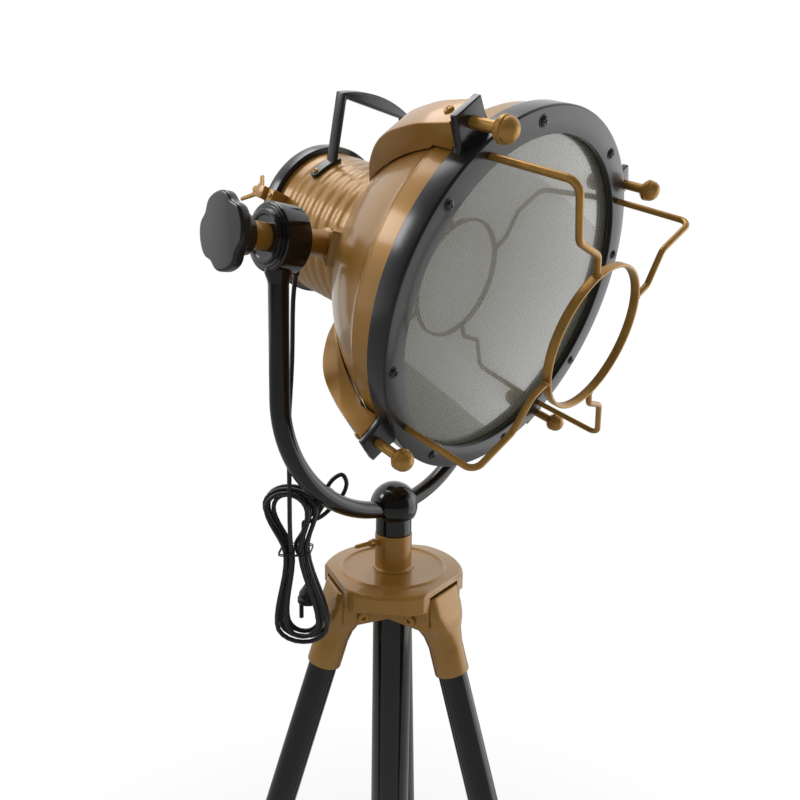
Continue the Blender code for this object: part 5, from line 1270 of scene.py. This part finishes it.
def handle():
    """A strap handle: curved tabs screwed to the drum, two legs, and a grip crowned above."""
    inner, outer = DRUM_R + GAP, DRUM_R + HANDLE_STRAP
    foot_x = HANDLE_HALF - 0.0095
    lean = math.degrees(math.asin(foot_x / outer))
    under = HANDLE_RISE - HANDLE_STRAP
    crown_r = (HANDLE_HALF ** 2 + HANDLE_CROWN ** 2) / (2 * HANDLE_CROWN)
    spread = math.degrees(math.asin(HANDLE_HALF / crown_r))
    crown = arc(crown_r, 90 + spread, 90 - spread, 33, (0, HANDLE_RISE + HANDLE_CROWN - crown_r))
    foot = polar(outer, 90 + lean)
    left = [(-foot_x + 0.0024, foot.y - 0.006), (-foot_x - 0.0030, foot.y - 0.003)]
    right = [(-x, y) for x, y in reversed(left)]
    inside = [(HANDLE_HALF - HANDLE_STRAP - 0.0008, under, 0.002),
              (-HANDLE_HALF + HANDLE_STRAP + 0.0008, under, 0.002)]
    outline = left + crown + right + inside
    strap = eased(slab(rounded(outline, True), HANDLE_WIDTH), 0.0011, 3, 50)
    half = HANDLE_WIDTH / 2
    for side in (-1, 1):
        sections = []
        first, last = lean - 4.0, HANDLE_TAB_ANGLE
        for i in range(21):
            t = i / 20
            angle = first + (last - first) * t
            room = math.radians(last - angle) * outer
            wide = half * math.sqrt(max(0.02, 1 - max(0.0, 1 - room / half) ** 2))
            low, high = polar(inner, 90 - side * angle), polar(outer - 0.0006, 90 - side * angle)
            ring = [(-wide, 0.12), (-wide * 0.94, 0.0), (wide * 0.94, 0.0), (wide, 0.12), (wide, 0.82),
                    (wide * 0.9, 1.0), (-wide * 0.9, 1.0), (-wide, 0.82)]
            sections.append([low.lerp(high, h) + Vector((0, 0, z)) for z, h in ring])
        joined(strap, lofted(sections))
    show("strap_handle", strap, HEAD @ shifted(z=HANDLE_Z), BLACK_SATIN, "head", "black_steel",
         "carry_handle", crease=38.0)
    for side, hand in ((-1, "left"), (1, "right")):
        seat = HEAD @ spun_to(90 - side * (HANDLE_TAB_ANGLE - 4.6)) @ shifted(outer - 0.0008, 0, HANDLE_Z)
        show(f"handle_screw_{hand}", round_head(0.0034, 0.0021, 0.0009), seat @ spun_to(90, "Y"),
             BRONZE_BRIGHT, "head", "bronze_steel")


def trunnion(side, hand):
    """A shaft on a sloping flange that is bolted to the dome, with a strap down to the drum."""
    slope = spun_to(side * TRUNNION_SLOPE, "Y")
    corners = [(0.0, DRUM_R * 0.8), (SHAFT_R, DRUM_R * 0.8), (SHAFT_R, KNOB_BOSS_IN - GAP),
               (0.0, KNOB_BOSS_IN - GAP)]
    shaft = set_at(lathe(corners, 64), spun_to(side * 90, "Y"))
    reach = dome_radius(TRUNNION_Z) + 0.0005
    plate = shifted(side * reach, 0, TRUNNION_Z - 0.003) @ slope
    pad = set_at(eased(block(TRUNNION_PAD), 0.0016, 3), plate)
    strap_place = spun_to(-side * TRUNNION_STRAP_TURN)
    strap_place = strap_place @ shifted(side * (DRUM_R + 0.0005), 0, TRUNNION_STRAP_Z)
    strap = set_at(eased(block(TRUNNION_STRAP), 0.0012, 3), strap_place)
    ring = [(SHAFT_R, 0.0), (SHAFT_R + 0.0030, 0.0), (SHAFT_R + 0.0006, 0.0030, 0.001), (SHAFT_R, 0.0034)]
    weld = set_at(lathe(ring, 48, closed=True), shifted(side * (reach + 0.0075)) @ spun_to(side * 90, "Y"))
    show(f"trunnion_{hand}", joined(shaft, pad, strap, weld), HEAD, BRONZE_LACQUER, "head", "bronze_steel",
         f"pivot_shaft_{hand}")
    bolts = bmesh.new()
    for y in (-TRUNNION_BOLT_Y, TRUNNION_BOLT_Y):
        for z in (-TRUNNION_BOLT_Z, TRUNNION_BOLT_Z):
            seat = plate @ shifted(side * 0.006, y, z) @ spun_to(side * 90, "Y")
            joined(bolts, set_at(round_head(0.0028, 0.0022), seat))
    joined(bolts, set_at(round_head(0.0028, 0.0020), strap_place @ shifted(side * 0.0045, 0, -0.018)
                         @ spun_to(side * 90, "Y")))
    show(f"trunnion_bolts_{hand}", bolts, HEAD, BRONZE_BRIGHT, "head", "bronze_steel")


def tilt_knob(side, hand):
    """A four-lobed hand knob with a round boss."""
    outline = []
    for i in range(144):
        angle = math.tau * i / 144
        swing = KNOB_LOBES * (angle - math.radians(KNOB_NOTCH_AT))
        radius = KNOB_R - KNOB_NOTCH * (0.5 + 0.5 * math.cos(swing)) ** 4
        outline.append((radius * math.cos(angle), radius * math.sin(angle)))
    disc = eased(slab(outline, KNOB_THICK), 0.0026, 5, 60)
    set_at(disc, shifted(z=KNOB_FACE - KNOB_THICK / 2))
    back = KNOB_FACE - KNOB_THICK
    corners = [(0.0, KNOB_BOSS_IN), (KNOB_BOSS_R, KNOB_BOSS_IN, 0.0012), (KNOB_BOSS_R, back - 0.0012, 0.0008),
               (KNOB_BOSS_R + 0.0014, back + 0.001), (0.0, back + 0.001)]
    boss = lathe(corners, 72)
    place = HEAD @ spun_to(side * 90, "Y")
    show(f"hand_knob_{hand}", joined(disc, boss), place, BLACK_SATIN, f"tilt_knob_{hand}", "black_casting",
         f"tilt_knob_{hand}")


# Rear end of the drum

def rear_cover():
    """The pressed cap with its hinge knuckle and the lug that the latch screw passes through."""
    dome_points = [(COVER_R * share, COVER_RIM - COVER_DOME * (1 - share ** 2))
                   for share in (0.93, 0.8, 0.65, 0.5, 0.35, 0.2, 0.0)]
    inside = [(COVER_R * share, COVER_RIM - COVER_DOME * (1 - share ** 2) + COVER_WALL)
              for share in (0.0, 0.3, 0.6, 0.85)]
    line = inside + [(COVER_BORE, COVER_RIM + COVER_WALL), (COVER_BORE, COVER_FRONT),
                     (COVER_R, COVER_FRONT, 0.0012), (COVER_R, COVER_RIM, 0.0028)] + dome_points
    cap = lathe(line, 120)
    knuckle = bar(KNUCKLE_R, (HINGE_X, -KNUCKLE_HALF, HINGE_Z), (HINGE_X, KNUCKLE_HALF, HINGE_Z), 32)
    arm = block((HINGE_X - COVER_R + 0.004, 2 * KNUCKLE_HALF, 0.004),
                shifted((HINGE_X + COVER_R - 0.001) / 2, 0, HINGE_Z - 0.0055))
    post = block((0.0046, 2 * KNUCKLE_HALF, 0.006), shifted(HINGE_X, 0, HINGE_Z - 0.0045))
    lug = eased(block((LATCH_LUG_DEEP, LATCH_BLOCK, LATCH_BLOCK),
                      shifted(-LATCH_X + 0.0015, 0, LATCH_LUG_Z)), 0.0012, 3)
    show("rear_cap", joined(cap, eased(knuckle, 0.0004, 2, 60), eased(arm, 0.0006, 2), post), REAR,
         BLACK_SATIN, "rear_cover", "black_steel", "rear_cover")
    show("rear_cap_lug", lug, REAR, BRONZE_LACQUER, "rear_cover", "bronze_steel")

    pin = bar(HINGE_PIN_R, (HINGE_X, -HINGE_HALF - 0.0008, HINGE_Z),
              (HINGE_X, HINGE_HALF + 0.0008, HINGE_Z), 24)
    for sign in (-1, 1):
        near, far = sign * (KNUCKLE_HALF + GAP), sign * (HINGE_HALF + 0.0004)
        ear = bar(KNUCKLE_R, (HINGE_X, near, HINGE_Z), (HINGE_X, far, HINGE_Z), 32)
        leaf = block((HINGE_X - DRUM_R, abs(far - near), 0.0042),
                     shifted((HINGE_X + DRUM_R) / 2, (near + far) / 2, HINGE_Z + 0.0022))
        joined(pin, eased(ear, 0.0004, 2, 60), eased(leaf, 0.0006, 2))
    base = block((0.0036, 2 * HINGE_HALF + 0.002, 0.0176), shifted(DRUM_R + 0.0020, 0, HINGE_Z + 0.012))
    joined(pin, eased(base, 0.0009, 3))
    for y in (-0.010, 0.010):
        seat = shifted(DRUM_R + 0.0037, y, HINGE_Z + 0.015) @ spun_to(90, "Y")
        joined(pin, set_at(round_head(0.0022, 0.0012), seat))
    show("hinge_leaves", pin, REAR, BRONZE_LACQUER, "head", "bronze_steel", "cover_hinge")


def latch():
    """The threaded block on the drum and the captive wing screw that enters it."""
    top = LATCH_X + LATCH_SCREW_R + 0.0022
    keeper = eased(block((top - DRUM_R + 0.0010, LATCH_BLOCK, LATCH_KEEPER),
                         shifted(-(top + DRUM_R - 0.0010) / 2, 0, LATCH_KEEPER_Z)), 0.0012, 3)
    seat = shifted(-top, 0, LATCH_KEEPER_Z) @ spun_to(-90, "Y")
    joined(keeper, set_at(round_head(0.0030, 0.0014), seat))
    show("latch_keeper", keeper, REAR, BRONZE_LACQUER, "head", "bronze_steel", "latch_block")

    back = LATCH_LUG_Z - LATCH_BLOCK / 2 - GAP
    screw = bar(LATCH_SCREW_R, (0, 0, LATCH_KEEPER_Z), (0, 0, back - 0.009), 32)
    hub = [(0.0, 0.0), (0.005, 0.0, 0.0006), (0.0042, -0.010, 0.0012), (0.0, -0.010)]
    outline = [(0.0, 0.004), (0.006, 0.003, 0.003), (0.0165, 0.0135, 0.0012), (0.0195, 0.0105, 0.0012),
               (0.007, -0.004, 0.003)]
    outline = outline + [(-x, *rest) for x, *rest in reversed(outline) if x > 0]
    outline = [(x, -y, *fillet) for x, y, *fillet in outline]
    wings = eased(slab(rounded(outline, True, 5), LATCH_WING_THICK), 0.0007, 3, 60)
    set_at(wings, shifted(z=back - 0.0055) @ spun_to(LATCH_WING_TURN) @ spun_to(90, "X"))
    joined(screw, set_at(lathe(hub, 40), shifted(z=back)), wings)
    show("wing_latch_screw", screw, REAR @ shifted(-LATCH_X), BRONZE_BRIGHT, "latch_screw", "bronze_steel",
         "latch_screw")


# Inside the head

def inner_parts():
    """A spun reflector, the steatite holder on its bar, and an opal bulb."""
    rim_z = LENS_BACK - GAP - REFLECTOR_WALL
    floor_z = rim_z - REFLECTOR_DEPTH
    bowl = []
    for i in range(25):
        r = REFLECTOR_R + (REFLECTOR_NECK - REFLECTOR_R) * i / 24
        share = (r ** 2 - REFLECTOR_NECK ** 2) / (REFLECTOR_R ** 2 - REFLECTOR_NECK ** 2)
        bowl.append((r, floor_z + (rim_z - floor_z) * share))
    front = [(LENS_R, rim_z)] + bowl + [(REFLECTOR_NECK, floor_z - 0.010)]
    behind = [(REFLECTOR_NECK + REFLECTOR_WALL, floor_z - 0.010)]
    behind += [(r + REFLECTOR_WALL, z - REFLECTOR_WALL * 0.4) for r, z in reversed(bowl[1:])]
    behind += [(REFLECTOR_R + 0.002, rim_z - 0.0012), (LENS_R, rim_z - 0.0009)]
    show("reflector_bowl", lathe(front + behind, 128, closed=True), HEAD, REFLECTOR_METAL, "head",
         "reflector_metal", "reflector")

    top = floor_z - 0.004
    bore = BULB_NECK_R + GAP
    corners = [(0.0, top - 0.030), (bore, top - 0.030), (bore, top), (HOLDER_R - 0.003, top, 0.001),
               (HOLDER_R, top - 0.006, 0.002), (HOLDER_R, top - 0.040, 0.001),
               (HOLDER_R - 0.002, top - 0.042, 0.001), (HOLDER_R - 0.002, top - HOLDER_LENGTH, 0.002),
               (0.0, top - HOLDER_LENGTH)]
    holder = lathe(corners, 64)
    flat = (DRUM_R - RIB_HEIGHT - SHELL) - 0.0008
    reach = math.sqrt(flat ** 2 - (HOLDER_BAR / 2) ** 2)
    carrier = eased(block((2 * reach, HOLDER_BAR, 0.003), shifted(z=top - HOLDER_LENGTH - 0.001)), 0.0006, 2)
    show("steatite_holder", joined(holder, carrier), HEAD, STEATITE, "head", "ceramic", "lamp_holder")

    seat = top - 0.030 + GAP
    corners = [(0.0, seat + 0.108)]
    corners += [(BULB_R * math.sin(a), seat + 0.078 + BULB_R * math.cos(a))
                for a in (math.radians(10 * i) for i in range(1, 12))]
    corners += [(0.0235, seat + 0.056), (0.0175, seat + 0.043), (BULB_NECK_R, seat + 0.033),
                (BULB_NECK_R, seat + 0.003, 0.002), (0.008, seat), (0.0, seat)]
    show("opal_bulb", lathe(corners, 64), HEAD, OPAL_GLASS, "head", "bulb_glass", "bulb")


camera()
studio()
floor()
cord()
tripod_head()
stem()
wing_screw()
for number in range(3):
    leg(number)
yoke()
dome()
drum()
bezel()
lens()
for number in range(4):
    cowl(number)
    clamp_knob(number)
guard()
handle()
for side_sign, side_name in ((-1, "left"), (1, "right")):
    trunnion(side_sign, side_name)
    tilt_knob(side_sign, side_name)
rear_cover()
latch()
inner_parts()

bpy.context.scene.view_settings.view_transform = "Standard"
